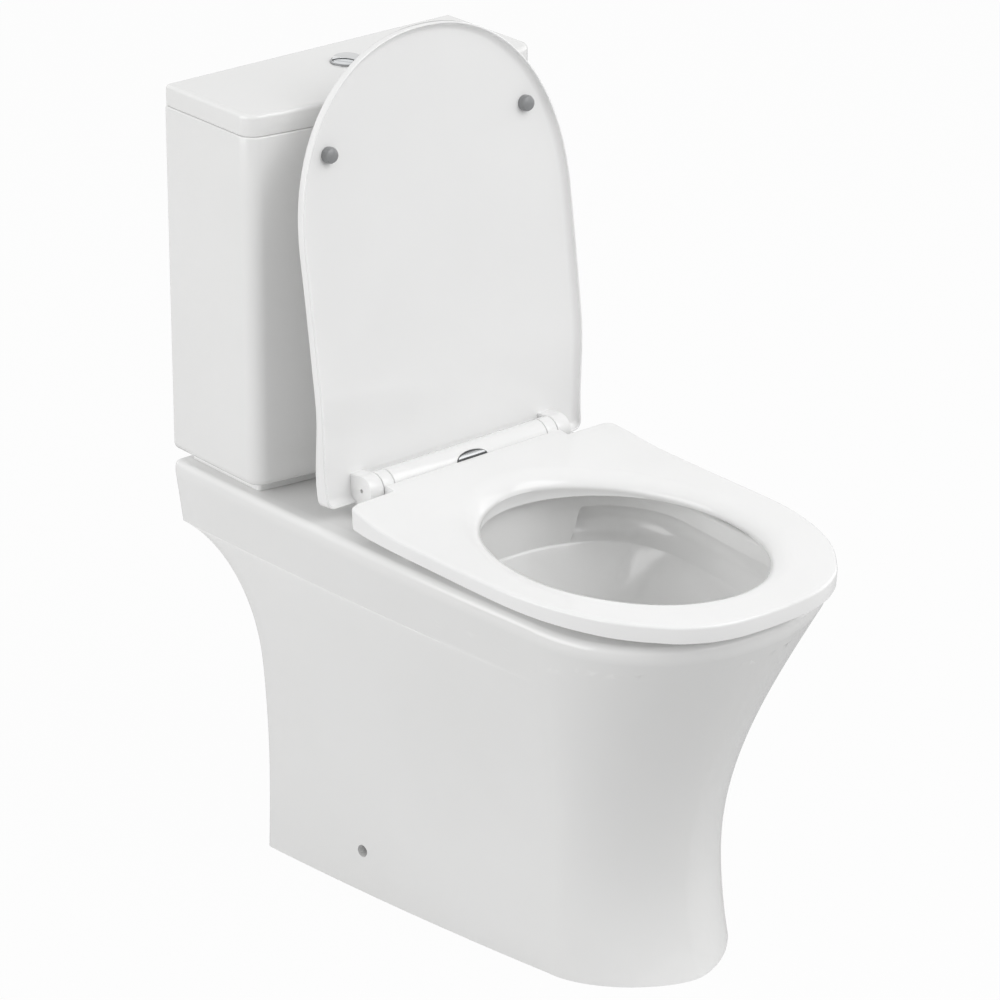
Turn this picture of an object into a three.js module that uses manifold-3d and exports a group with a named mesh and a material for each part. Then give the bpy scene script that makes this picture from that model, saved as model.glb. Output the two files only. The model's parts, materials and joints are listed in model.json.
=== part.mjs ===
// Two-piece toilet: a skirted ceramic pan with a close-coupled cistern, a slim seat and its open cover.
// Units are millimetres, +Z is up, +X is to the right of someone facing the toilet, and the front
// faces -Y. The origin is on the floor, in the middle of the footprint's bounding box.
// Places from front to back are given as a distance from the wall behind the toilet.
import * as THREE from "three";
import { mergeVertices } from "three/addons/utils/BufferGeometryUtils.js";
import Module from "manifold-3d";

const wasm = await Module();
wasm.setup();

// Clearances shared by all pieces
const gap = 0.3;
const overrun = 1;

// Pan, outside
const rimHeight = 420;
const deckRearHalf = 189.5;
const deckTaper = 21.5;
const deckShoulder = 545;
const deckShoulderHalf = deckRearHalf - deckTaper;
const deckLength = 706;
const footRear = 115;
const footRearHalf = 160.5;
const footShoulder = 520;
const footShoulderHalf = 108;
const neckLength = 601;
const neckHeight = 98;
const flareDrop = 14;
const flareTop = rimHeight - flareDrop;
const toeReach = 22.5;
const toeSpread = 2.5;
const sideBulge = 5;
const deckCorner = 7;
const rimEdge = 8;
const platformDepth = 72;
const platformUnderside = rimHeight - platformDepth;
const coveHeight = 133;
const coveBottom = platformUnderside - coveHeight;
const footPower = 1.62;
const frontPower = 2.15;
const covePower = 2.25;
const toePower = 1.9;

// Pan, walls and hollows
const panWall = 11;
const deckThickness = 14;
const hollowStep = 3;
const footTopOfHollow = platformUnderside - hollowStep;
const platformHollowLength = 285;
const rearOpeningHalf = 96;
const rearLintel = 9;
const rearOpeningHeight = footTopOfHollow - rearLintel;
const bowlWall = 10;
const rimWidth = 33;
const rimInnerRear = 332;
const bowlWaist = 430;
const rimDepth = 22;
const channelHeight = 30;
const channelReach = 11;
const ledgeWidth = 12;
const sumpDepth = 58;
const sumpHalf = 27;
const sumpRear = 398;
const sumpFront = 466;
const sumpWaistShare = 1 / 3;
const sumpShoulderShare = 2 / 3;
const hoodHalf = 78;
const hoodWall = 8;
const hoodDepth = 60;

// Pan, trapway and water way
const trapBore = 78;
const trapWall = 10;
const sumpMiddle = 432;
const dipPlace = 385;
const dipHeight = 97;
const weirPlace = 245;
const weirHeight = 226;
const outletHeight = 180;
const outletGap = 18;
const ductHalf = 36;
const inletThroat = 36;
const inletSocket = 46;
const inletSocketDepth = 18;
const inletWall = 10;
const sideHoleBore = 13.5;
const sideHoleHeight = 47;
const sideHolePlace = 261;

// Cistern and its lid
const tankSetIn = 2.5;
const tankHalf = deckRearHalf - tankSetIn;
const tankFlare = 1;
const tankCornerDepth = 143;
const tankBow = 15;
const tankCorner = 20;
const tankRearCorner = 3;
const tankRise = 10;
const tankBottom = rimHeight + tankRise;
const tankHeight = 378;
const tankTop = tankBottom + tankHeight;
const tankWall = 9;
const tankFloor = 15;
const tankEdge = 9;
const tankFootInset = 15;
const lidHeight = 23.6;
const lidInset = 1;
const lidEdge = 5;
const lidPlate = 14;
const lidLipDepth = 10;
const lidLipWall = 6;
const lidLipClearance = 2.5;
const tankScrewHole = 6.5;
const tankScrewSpacing = 220;
const tankScrewDrop = 63;
const tankScrewHeight = tankTop - tankScrewDrop;

// Coupling bolts between the cistern and the pan
const valvePlace = 75;
const boltSpacing = 164;
const boltShank = 8;
const boltHole = 11;
const boltHead = 20;
const boltHeadHeight = 6;
const boltDrop = 62;
const boltSealSize = 26;
const boltSealHeight = 3;
const couplingWasherSize = 28;
const couplingWasherHeight = 2.5;
const wingNutHub = 16;
const wingNutHeight = 13;
const wingSpan = 44;
const wingThickness = 4;

// Flush valve
const valveTail = 60;
const valveBore = 50;
const valveHole = 63;
const valveFlange = 86;
const valveFlangeHeight = 6;
const valveWasherHeight = 3;
const valveTailDrop = 38;
const valveSeatHeight = 5;
const valveNutSize = 76;
const valveNutHeight = 12;
const gasketDrop = 13.5;
const cagePost = 7;
const cageRadius = 36;
const cageRingHeight = 8;
const cageDrop = 116;
const cageHeight = tankHeight - cageDrop;
const tubeSize = 34;
const tubeBore = 29;
const tubeFlange = 60;
const tubeFlangeHeight = 4;
const tubeDrop = 30;
const tubeLength = cageHeight - tubeDrop;
const sealHeight = 3;
const sealBore = 47.6;
const headSize = 50;
const headHeight = 34;
const headWellDepth = 22;
const headWell = 9;

// Dual-flush button
const buttonPlace = 62;
const bezelSize = 35;
const bezelBody = 32.4;
const bezelBore = 30;
const bezelRise = 1.6;
const bezelLength = 36;
const bezelWeb = 3;
const bezelNutSize = 46;
const bezelNutHeight = 8;
const buttonDepth = 9;
const fullButtonRise = 3.6;
const halfButtonRise = -0.6;
const buttonEdge = 1;
const buttonSplitOffset = 5.2;
const buttonTurn = 28;
const rodSize = 6;
const fullRodOffset = 5;
const halfRodOffset = 9.5;
const buttonTravel = 5;

// Fill valve
const fillPlace = 70;
const fillSideShare = 0.7487;
const fillSide = tankHalf * fillSideShare;
const fillTail = 20.6;
const fillTailBore = 10;
const fillHole = 22;
const fillTailDrop = 46;
const fillFlange = 38;
const fillWasherHeight = 3;
const fillFlangeHeight = 4;
const fillNutSize = 34;
const fillNutHeight = 7;
const fillNutRoom = 42;
const riserSize = 24;
const riserDrop = 110;
const riserLength = tankHeight - riserDrop;
const riserCollarSize = 32;
const riserCollarHeight = 4;
const floatSize = 58;
const floatHeight = 62;
const floatWall = 3;
const floatTravel = 30;
const fillCapSize = 46;
const fillCapHeight = 26;

// Hinge, seat ring and cover
const hingePlace = 249;
const hingeRise = 30;
const hingeHeight = rimHeight + hingeRise;
const hingeRadius = 15.7;
const barHalf = 102;
const seatKnuckle = 13.5;
const lidKnuckle = 17;
const knuckleGap = 0.7;
const pinSize = 8;
const pinLength = 46;
const pinPeephole = 4.6;
const pinEndWall = 3;
const damperSize = 18;
const damperLength = 60;
const seatBoltSpacing = 155;
const seatBoltHole = 14;
const hingeFootSize = 32;
const hingeFootRise = 6;
const hingePostSize = 11;
const hingePostHeight = 11;
const hingeStud = 6;
const hingeStudDrop = 40;
const barEarHalf = 16;
const barEarDepth = 13;
const seatWasherSize = 26;
const seatWasherHeight = 3;
const seatNutSize = 20;
const seatNutHeight = 14;
const tabWidth = 40;
const tabRise = 0.9;
const tabThickness = 3.2;
const tabLowAngle = 20;
const tabHighAngle = 51;
const tabTravel = 1.4;

const seatOverhang = 17;
const seatReach = deckLength + seatOverhang - hingePlace;
const seatTopRise = 27;
const seatTop = rimHeight + seatTopRise;
const seatUndersideRise = 11;
const seatUnderside = rimHeight + seatUndersideRise;
const seatRearRise = 10.5;
const seatRearRiseLength = 112;
const seatFrontRise = 3.2;
const seatFrontRiseStart = 170;
const seatFrontRiseLength = 200;
const seatSetIn = 10;
const seatHalf = deckRearHalf - seatSetIn;
const seatRearTaper = 4;
const seatRearHalf = seatHalf - seatRearTaper;
const seatRearGap = 30;
const seatTongueGap = 1;
const seatCorner = 10;
const holeRear = 331;
const holeSetBack = 44;
const holeFront = deckLength - holeSetBack;
const seatRingWidth = 54.5;
const holeHalf = seatHalf - seatRingWidth;
const holeWaist = 505;
const seatInnerRound = 24;
const seatOuterRound = 3.2;
const seatTongueRound = 1;
const seatBumperSize = 16;
const rearBumperPlace = 350;
const frontBumperSetBack = 63;
const frontBumperPlace = deckLength - frontBumperSetBack;

const coverTilt = 7.6;
const coverSetBack = 19;
const coverLength = seatReach - coverSetBack;
const coverSetIn = 5;
const coverHalf = seatHalf - coverSetIn;
const coverFootTaper = 3.5;
const coverFootHalf = coverHalf - coverFootTaper;
const coverFootBow = 0.6;
const coverBelow = 14;
const coverTipLength = 205;
const coverShoulder = coverLength - coverTipLength;
const coverWaistLength = 110;
const coverWaist = coverShoulder - coverWaistLength;
const coverCorner = 11;
const coverPower = 2.15;
const coverDepth = 13;
const coverFootDepth = 16;
const coverSide = 8.5;
const coverFootSide = 15;
const coverThickLength = 95;
const coverRecess = 7;
const coverRimWidth = 2.2;
const coverCoveWidth = 7;
const coverSlopeWidth = 22;
const coverRimGapHalf = 134;
const coverBumperSetIn = 46.5;
const coverBumperSide = coverHalf - coverBumperSetIn;
const coverBumperSetBack = 107;
const coverBumperPlace = coverLength - coverBumperSetBack;
const coverBumperSize = 17;

// Whole depth from the wall to the tip of the seat, and where the wall is in the part's frame
const overallDepth = hingePlace + seatReach;
const wallY = overallDepth / 2;
const rad = Math.PI / 180;

// How finely round things are divided
const roundSides = 28;
const smallSides = 18;
const nutFlats = 6;
const bigNutFlats = 12;

// Materials
function finish(color, roughness, metalness) {
  return new THREE.MeshStandardMaterial({ color, roughness, metalness });
}
const glaze = () => finish(0xf2f2f0, 0.08, 0);
const seatPlastic = () => finish(0xf6f6f5, 0.18, 0);
const valvePlastic = () => finish(0xe4e6e8, 0.45, 0);
const bluePlastic = () => finish(0x5f88b4, 0.45, 0);
const greyRubber = () => finish(0x8f9193, 0.7, 0);
const blackRubber = () => finish(0x2b2c2e, 0.8, 0);
const chrome = () => finish(0xd8dade, 0.06, 1);
const steel = () => finish(0xb4b6ba, 0.3, 1);
const brass = () => finish(0xc4a15a, 0.3, 1);

// Closed bodies as solids for cutting and joining, and back to meshes
function solid(geometry) {
  const bare = new THREE.BufferGeometry();
  bare.setAttribute("position", geometry.getAttribute("position"));
  if (geometry.index) bare.setIndex(geometry.index);
  const merged = mergeVertices(bare, 1e-4);
  const vertProperties = new Float32Array(merged.attributes.position.array);
  const triVerts = new Uint32Array(merged.index.array);
  return new wasm.Manifold(new wasm.Mesh({ numProp: 3, vertProperties, triVerts }));
}

function geometryOf(body) {
  const mesh = body.getMesh();
  const places = new Float32Array((mesh.vertProperties.length / mesh.numProp) * 3);
  for (let i = 0; i < places.length / 3; i += 1) {
    for (let k = 0; k < 3; k += 1) {
      places[i * 3 + k] = mesh.vertProperties[i * mesh.numProp + k];
    }
  }
  const geometry = new THREE.BufferGeometry();
  geometry.setAttribute("position", new THREE.BufferAttribute(places, 3));
  geometry.setIndex(new THREE.BufferAttribute(new Uint32Array(mesh.triVerts), 1));
  return geometry;
}

function piece(name, shape, material) {
  const geometry = shape.isBufferGeometry ? shape : geometryOf(shape);
  const mesh = new THREE.Mesh(geometry, material);
  mesh.name = name;
  return mesh;
}

// A point given by its distance from the wall
function place(x, fromWall, z) {
  return new THREE.Vector3(x, wallY - fromWall, z);
}

function lerp(a, b, t) {
  return a + (b - a) * t;
}

// Skin over closed rings that all have the same number of points, with both ends closed.
// A waved end is closed by strips between the left and right points of a symmetrical ring.
function loft(rings, waved = false) {
  const count = rings[0].length;
  const places = rings.flat().flatMap((p) => [p.x, p.y, p.z]);
  const index = [];
  for (let r = 0; r + 1 < rings.length; r += 1) {
    for (let i = 0; i < count; i += 1) {
      const a = r * count + i;
      const b = r * count + ((i + 1) % count);
      index.push(a, b, b + count, a, b + count, a + count);
    }
  }
  for (const [r, turned] of [[0, true], [rings.length - 1, false]]) {
    const flat = capPlane(rings[r]);
    const faces = waved ? stripFaces(count) : THREE.ShapeUtils.triangulateShape(flat, []);
    for (const [a, b, c] of faces) {
      const corners = [a, b, c].map((i) => r * count + i);
      if (turned !== THREE.ShapeUtils.area(flat) < 0) corners.reverse();
      index.push(...corners);
    }
  }
  const geometry = new THREE.BufferGeometry();
  geometry.setAttribute("position", new THREE.Float32BufferAttribute(places, 3));
  geometry.setIndex(index);
  const body = solid(geometry);
  return body.volume() < 0 ? solid(turnedOut(geometry)) : body;
}

function stripFaces(count) {
  const faces = [];
  for (let i = 0; i < count / 2; i += 1) {
    const across = (count - i) % count;
    const next = count - i - 1;
    if (next !== i + 1) faces.push([i, i + 1, next]);
    if (across !== i) faces.push([i, next, across]);
  }
  return faces;
}

function capPlane(ring) {
  return ring.map((p) => new THREE.Vector2(p.x, p.y));
}

function turnedOut(geometry) {
  const index = Array.from(geometry.index.array);
  for (let i = 0; i < index.length; i += 3) {
    [index[i + 1], index[i + 2]] = [index[i + 2], index[i + 1]];
  }
  geometry.setIndex(index);
  return geometry;
}

// Body turned about an upright axis from a profile of [radius, height] that closes on itself
function turned(profile, x, fromWall, sides = smallSides) {
  const points = profile.map(([r, z]) => new THREE.Vector2(r, z));
  const closed = profile[0][0] > 0 || profile.at(-1)[0] > 0;
  if (closed) points.push(points[0].clone());
  const geometry = new THREE.LatheGeometry(points, sides);
  geometry.rotateX(Math.PI / 2);
  const at = place(x, fromWall, 0);
  geometry.translate(at.x, at.y, 0);
  const body = solid(geometry);
  return body.volume() < 0 ? solid(turnedOut(mergedOnly(geometry))) : body;
}

function mergedOnly(geometry) {
  geometry.deleteAttribute("normal");
  geometry.deleteAttribute("uv");
  return mergeVertices(geometry, 1e-4);
}

// Upright plain cylinder and ring between two heights
function drum(size, low, high, x, fromWall, sides = smallSides) {
  return turned([[0, low], [size / 2, low], [size / 2, high], [0, high]], x, fromWall, sides);
}

function ring(bore, size, low, high, x, fromWall, sides = smallSides) {
  const profile = [[bore / 2, low], [size / 2, low], [size / 2, high], [bore / 2, high]];
  return turned(profile, x, fromWall, sides);
}

// Nut with flats outside and a round bore that is divided like the thread it is on
function nut(bore, boreSides, size, flats, low, high, x, fromWall) {
  const body = drum(size, low, high, x, fromWall, flats);
  return body.subtract(drum(bore, low - overrun, high + overrun, x, fromWall, boreSides));
}

// Cylinder along X between two places
function crossDrum(radius, x0, x1, y, z, sides = smallSides) {
  const geometry = new THREE.CylinderGeometry(radius, radius, x1 - x0, sides);
  geometry.rotateZ(Math.PI / 2);
  geometry.translate((x0 + x1) / 2, y, z);
  return solid(geometry);
}

// Block between two corners
function block(x0, x1, y0, y1, z0, z1) {
  const geometry = new THREE.BoxGeometry(x1 - x0, y1 - y0, z1 - z0);
  geometry.translate((x0 + x1) / 2, (y0 + y1) / 2, (z0 + z1) / 2);
  return solid(geometry);
}

// Block whose depth is given by distances from the wall
function wallBlock(x0, x1, near, far, z0, z1) {
  return block(x0, x1, wallY - far, wallY - near, z0, z1);
}

// Quarter of a superellipse from its side to its end, as shares of its half axes
function roundedQuarter(power, steps) {
  const shares = [];
  for (let i = 1; i <= steps; i += 1) {
    const a = (i / steps) * (Math.PI / 2);
    shares.push([Math.cos(a) ** (2 / power), Math.sin(a) ** (2 / power)]);
  }
  shares[steps - 1][0] = 0;
  return shares;
}

// Whole ring from one half, which runs from the middle of the rear to the middle of the front
function wholeRing(half, height) {
  const right = half.map(([x, fromWall]) => place(x, fromWall, height));
  const left = half
    .slice(1, -1)
    .map(([x, fromWall]) => place(-x, fromWall, height))
    .reverse();
  return [...right, ...left];
}

// Plan outline of the pan at one height, moved inwards by an inset
function flareAt(height) {
  const up = Math.min(1, Math.max(0, (height - neckHeight) / (flareTop - neckHeight)));
  return (up * up * (3 - up)) / 2;
}

function toeShareAt(height) {
  if (height >= neckHeight) return 0;
  return ((neckHeight - height) / neckHeight) ** toePower;
}

function rearAt(height) {
  if (height <= coveBottom) return footRear;
  if (height >= platformUnderside) return 0;
  const up = (height - coveBottom) / (platformUnderside - coveBottom);
  return footRear * (1 - up ** covePower) ** (1 / covePower);
}

const panCornerSteps = 3;
const panSideSteps = 6;
const panFrontSteps = 9;
const panSteps = { corner: panCornerSteps, side: panSideSteps, front: panFrontSteps };
const hollowCornerSteps = 2;
const hollowSideSteps = 3;
const hollowFrontSteps = 6;
const hollowSteps = { corner: hollowCornerSteps, side: hollowSideSteps, front: hollowFrontSteps };

function panHalf(height, inset, rear = rearAt(height), steps = panSteps) {
  const flare = flareAt(height);
  const toe = toeShareAt(height);
  const rearHalf = lerp(footRearHalf, deckRearHalf, flare) + toeSpread * toe - inset;
  const shoulderHalf = lerp(footShoulderHalf, deckShoulderHalf, flare) + toeSpread * toe - inset;
  const shoulder = lerp(footShoulder, deckShoulder, flare);
  const tip = lerp(neckLength, deckLength, flare) + toeReach * toe - inset;
  const back = rear + inset;
  const corner = Math.max(deckCorner - inset, deckCorner / 4);
  const half = [[0, back], [(rearHalf - corner) / 2, back]];
  for (let i = 0; i <= steps.corner; i += 1) {
    const a = (i / steps.corner) * (Math.PI / 2);
    half.push([rearHalf - corner + corner * Math.sin(a), back + corner - corner * Math.cos(a)]);
  }
  for (let i = 1; i <= steps.side; i += 1) {
    const t = i / steps.side;
    const bulge = sideBulge * 4 * t * (1 - t);
    half.push([lerp(rearHalf, shoulderHalf, t) + bulge, lerp(back + corner, shoulder, t)]);
  }
  for (const [across, along] of roundedQuarter(lerp(footPower, frontPower, flare), steps.front)) {
    half.push([shoulderHalf * across, shoulder + (tip - shoulder) * along]);
  }
  return half;
}

// The pan's outside, up to the rounded edge of the deck and rim
function panOutside() {
  const toeShares = [0, 0.25, 0.55, 1];
  const neckShares = [0.33, 0.67, 1];
  const coveShares = [0.25, 0.45, 0.62, 0.76, 0.87, 0.94, 0.98, 1];
  const sideTop = rimHeight - rimEdge;
  const rings = [];
  for (const share of toeShares) rings.push(wholeRing(panHalf(neckHeight * share, 0), neckHeight * share));
  for (const share of neckShares) {
    const z = lerp(neckHeight, coveBottom, share);
    rings.push(wholeRing(panHalf(z, 0), z));
  }
  for (const share of coveShares) {
    const z = lerp(coveBottom, platformUnderside, share);
    rings.push(wholeRing(panHalf(z, 0), z));
  }
  for (const z of [lerp(platformUnderside, flareTop, 1 / 2), flareTop, sideTop]) {
    rings.push(wholeRing(panHalf(z, 0), z));
  }
  for (const turn of [40, 90]) {
    const inset = rimEdge * (1 - Math.cos(turn * rad));
    const z = sideTop + rimEdge * Math.sin(turn * rad);
    rings.push(wholeRing(panHalf(z, inset), z));
  }
  return loft(rings);
}

// The hollow under the pan and under its rear platform, open to the floor and to the wall
function panHollow() {
  const hollowShares = [0, 0.16, 0.35, 0.6];
  const coveShares = [0.3, 0.6, 0.85, 1];
  const hollowRing = (z, at = z) => wholeRing(panHalf(at, panWall, rearAt(at - panWall), hollowSteps), z);
  const rings = [hollowRing(-overrun, 0)];
  for (const share of hollowShares.slice(1)) rings.push(hollowRing(coveBottom * share));
  for (const share of coveShares) {
    rings.push(hollowRing(lerp(coveBottom, footTopOfHollow, share)));
  }
  const under = loft(rings);
  const deckUnderside = rimHeight - deckThickness;
  const platformHigh = [];
  for (const z of [footTopOfHollow - overrun, platformUnderside + panWall, deckUnderside]) {
    platformHigh.push(hollowRing(z));
  }
  const widest = deckRearHalf + overrun;
  const behind = wallBlock(-widest, widest, 0, platformHollowLength, 0, rimHeight);
  const platform = loft(platformHigh).intersect(behind);
  const opening = rearOpeningHalf;
  const openingDepth = footRear + panWall * 2;
  const rearOpening = wallBlock(-opening, opening, -overrun, openingDepth, -overrun, rearOpeningHeight);
  return under.add(platform).add(rearOpening);
}

// Plan outline inside the rim and in the bowl
const bowlRearSteps = 7;
const bowlSideSteps = 3;
const bowlFrontSteps = 8;
const bowlSteps = { rear: bowlRearSteps, side: bowlSideSteps, front: bowlFrontSteps };
const shellRearSteps = 4;
const shellSideSteps = 1;
const shellFrontSteps = 5;
const bowlShellSteps = { rear: shellRearSteps, side: shellSideSteps, front: shellFrontSteps };
const bowlRearPower = 2.3;

function bowlHalf({ rear, waist, half, shoulder, shoulderHalf, front }, steps = bowlSteps) {
  const points = [];
  for (const [across, along] of roundedQuarter(bowlRearPower, steps.rear)) {
    points.unshift([half * across, waist - (waist - rear) * along]);
  }
  for (let i = 0; i < steps.side; i += 1) {
    const t = i / steps.side;
    points.push([lerp(half, shoulderHalf, t), lerp(waist, shoulder, t)]);
  }
  points.push([shoulderHalf, shoulder]);
  for (const [across, along] of roundedQuarter(frontPower, steps.front)) {
    points.push([shoulderHalf * across, shoulder + (front - shoulder) * along]);
  }
  return points;
}

function rimOutline(grow) {
  return {
    rear: rimInnerRear - grow,
    waist: bowlWaist,
    half: lerp(deckRearHalf, deckShoulderHalf, bowlWaist / deckShoulder) - rimWidth + sideBulge + grow,
    shoulder: deckShoulder,
    shoulderHalf: deckShoulderHalf - rimWidth + grow,
    front: deckLength - rimWidth + grow,
  };
}

const ledgeHeight = rimHeight - rimDepth - channelHeight;

// The channel follows the pan's outside where that is nearer than its full reach
function channelOutline() {
  const wide = rimOutline(channelReach);
  const flare = flareAt(ledgeHeight);
  const limit = {
    shoulderHalf: lerp(footShoulderHalf, deckShoulderHalf, flare) - bowlWall,
    front: lerp(neckLength, deckLength, flare) - bowlWall,
  };
  return {
    ...wide,
    shoulderHalf: Math.min(wide.shoulderHalf, limit.shoulderHalf),
    front: Math.min(wide.front, limit.front),
  };
}

function sumpOutline(grow) {
  return {
    rear: sumpRear - grow,
    waist: lerp(sumpRear, sumpFront, sumpWaistShare),
    half: sumpHalf + grow,
    shoulder: lerp(sumpRear, sumpFront, sumpShoulderShare),
    shoulderHalf: sumpHalf + grow,
    front: sumpFront + grow,
  };
}

function blendOutline(a, b, t) {
  return Object.fromEntries(Object.keys(a).map((key) => [key, lerp(a[key], b[key], t)]));
}

// The bowl below the ledge: it narrows quickly and then drops into the sump
const bowlDepthShares = [0, 0.1, 0.25, 0.42, 0.6, 0.78, 0.92, 1];
const bowlShellShares = [0, 0.25, 0.6, 1];
const bowlNarrowing = 0.85;

function bowlLoft(grow, top, bottom, shares = bowlDepthShares, steps = bowlSteps) {
  const upper = rimOutline(grow - ledgeWidth);
  const lower = sumpOutline(grow);
  const rings = shares.map((share) => {
    const outline = blendOutline(upper, lower, share ** bowlNarrowing);
    return wholeRing(bowlHalf(outline, steps), lerp(top, bottom, share));
  });
  return loft(rings);
}

function outlineColumn(outline, low, high) {
  return loft([wholeRing(bowlHalf(outline), low), wholeRing(bowlHalf(outline), high)]);
}

function bowlShell() {
  const outer = bowlWall * 1.15;
  const shell = bowlLoft(outer, ledgeHeight, sumpDepth - bowlWall, bowlShellShares, bowlShellSteps);
  const collar = [ledgeHeight - overrun, rimHeight - rimEdge].map((z) =>
    wholeRing(bowlHalf(rimOutline(channelReach + bowlWall), bowlShellSteps), z),
  );
  return shell.add(loft(collar));
}

// Room inside the rim: a mouth, the flush channel below it, and a hood that closes the channel
// behind the bowl, with the water way from the cistern arriving at the back of the hood
function bowlRoom() {
  const channelTop = rimHeight - rimDepth;
  const lip = rimEdge * 0.6;
  const mouth = loft([
    wholeRing(bowlHalf(rimOutline(0)), ledgeHeight),
    wholeRing(bowlHalf(rimOutline(0)), rimHeight - lip),
    wholeRing(bowlHalf(rimOutline(lip * 0.3)), rimHeight - lip * 0.3),
    wholeRing(bowlHalf(rimOutline(lip)), rimHeight),
    wholeRing(bowlHalf(rimOutline(lip)), rimHeight + overrun),
  ]);
  const channel = outlineColumn(channelOutline(), ledgeHeight, channelTop);
  const hoodZone = wallBlock(-hoodHalf, hoodHalf, 0, rimInnerRear + hoodDepth, 0, rimHeight);
  const hood = outlineColumn(rimOutline(hoodWall), ledgeHeight - overrun, channelTop + overrun)
    .intersect(hoodZone)
    .subtract(outlineColumn(rimOutline(0), 0, rimHeight));
  const below = bowlLoft(0, ledgeHeight + overrun, sumpDepth);
  return mouth.add(channel.subtract(hood)).add(below);
}

// Tube along a path in the plane of symmetry
const trapSides = 16;

function trapTube(size, start, end, steps) {
  const path = new THREE.CatmullRomCurve3([
    place(0, start, dipHeight),
    place(0, dipPlace, dipHeight),
    place(0, lerp(dipPlace, weirPlace, 0.42), lerp(dipHeight, weirHeight, 0.38)),
    place(0, lerp(dipPlace, weirPlace, 0.68), lerp(dipHeight, weirHeight, 0.82)),
    place(0, weirPlace, weirHeight),
    place(0, lerp(weirPlace, footRear, 0.4), lerp(weirHeight, outletHeight, 0.45)),
    place(0, lerp(weirPlace, footRear, 0.75), outletHeight),
    place(0, end, outletHeight),
  ]);
  const section = new THREE.Shape();
  for (let i = 0; i < trapSides; i += 1) {
    const a = (i / trapSides) * Math.PI * 2;
    const x = (size / 2) * Math.cos(a);
    const y = (size / 2) * Math.sin(a);
    if (i === 0) section.moveTo(x, y);
    else section.lineTo(x, y);
  }
  const geometry = new THREE.ExtrudeGeometry(section, { steps, extrudePath: path });
  const body = solid(geometry);
  return body.volume() < 0 ? solid(turnedOut(mergedOnly(geometry))) : body;
}

// Water way in the deck, from the cistern's outlet to the back of the hood
const throatFloor = ledgeHeight + (rimHeight - rimDepth - ledgeHeight) * 0.1;

function waterWayShell() {
  const low = throatFloor - inletWall;
  const high = rimHeight - rimEdge;
  const half = ductHalf + inletWall;
  const duct = wallBlock(-half, half, valvePlace, rimInnerRear, low, high);
  const well = drum((inletSocket + inletWall) * 2, low, high, 0, valvePlace, roundSides);
  return duct.add(well);
}

function waterWayRoom() {
  const roof = rimHeight - rimDepth - overrun;
  const duct = wallBlock(-ductHalf, ductHalf, valvePlace, rimInnerRear - hoodWall * 1.2, throatFloor, roof);
  const throat = drum(inletThroat * 2, throatFloor, rimHeight, 0, valvePlace, roundSides);
  const socketFloor = rimHeight - inletSocketDepth;
  const socket = drum(inletSocket * 2, socketFloor, rimHeight + overrun, 0, valvePlace, roundSides);
  return duct.add(throat).add(socket);
}

// Holes through the deck for the coupling bolts, the seat and the water supply
function deckHoles() {
  const low = rimHeight - deckThickness - overrun;
  const high = rimHeight + overrun;
  let holes = drum(fillNutRoom, low, high, fillSide, fillPlace, roundSides);
  for (const side of [-1, 1]) {
    holes = holes.add(drum(boltHole, low, high, (side * boltSpacing) / 2, valvePlace));
    const seatX = (side * seatBoltSpacing) / 2;
    holes = holes.add(drum(seatBoltHole, low, high, seatX, hingePlace));
  }
  return holes;
}

function pan() {
  const sideHoles = crossDrum(
    sideHoleBore / 2,
    -deckRearHalf,
    deckRearHalf,
    wallY - sideHolePlace,
    sideHoleHeight,
    roundSides,
  );
  const trapShell = trapTube(trapBore + trapWall * 2, sumpMiddle, outletGap, 12);
  const walls = panOutside()
    .subtract(panHollow())
    .subtract(sideHoles)
    .add(bowlShell().intersect(panOutside()))
    .add(waterWayShell().intersect(panOutside()))
    .add(trapShell);
  return walls
    .subtract(bowlRoom())
    .subtract(waterWayRoom())
    .subtract(trapTube(trapBore, sumpMiddle, outletGap - overrun, 14))
    .subtract(deckHoles());
}

// Plan outline of the cistern, with a bowed front between rounded corners
const tankFrontSteps = 5;
const tankCornerSteps = 5;

function tankHalfOutline(inset, flare) {
  const half = tankHalf + flare;
  const middle = half - tankCorner;
  const start = Math.atan((tankBow * 2) / middle);
  const frontX = middle + tankCorner * Math.sin(start);
  const cornerY = tankCornerDepth - tankCorner * Math.cos(start);
  const round = Math.max(tankCorner - inset, tankCorner / 5);
  const rearRound = Math.max(tankRearCorner - inset, tankRearCorner / 5);
  const points = [[0, inset], [half - inset - rearRound, inset]];
  points.push([half - inset - rearRound * (1 - Math.SQRT1_2), inset + rearRound * (1 - Math.SQRT1_2)]);
  points.push([half - inset, inset + rearRound]);
  const reach = tankCorner - inset - round;
  for (let i = 0; i <= tankCornerSteps; i += 1) {
    const a = lerp(Math.PI / 2, start, i / tankCornerSteps);
    points.push([middle + reach + round * Math.sin(a), cornerY + reach + round * Math.cos(a)]);
  }
  const [joinX, joinY] = points.at(-1);
  for (let i = 1; i <= tankFrontSteps; i += 1) {
    const share = 1 - i / tankFrontSteps;
    points.push([joinX * share, joinY + tankBow * (joinX / frontX) * (1 - share * share)]);
  }
  return points;
}

function tankRing(inset, height) {
  const flare = tankFlare * ((tankTop - height) / (tankTop - tankBottom));
  return wholeRing(tankHalfOutline(inset, flare), height);
}

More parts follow.
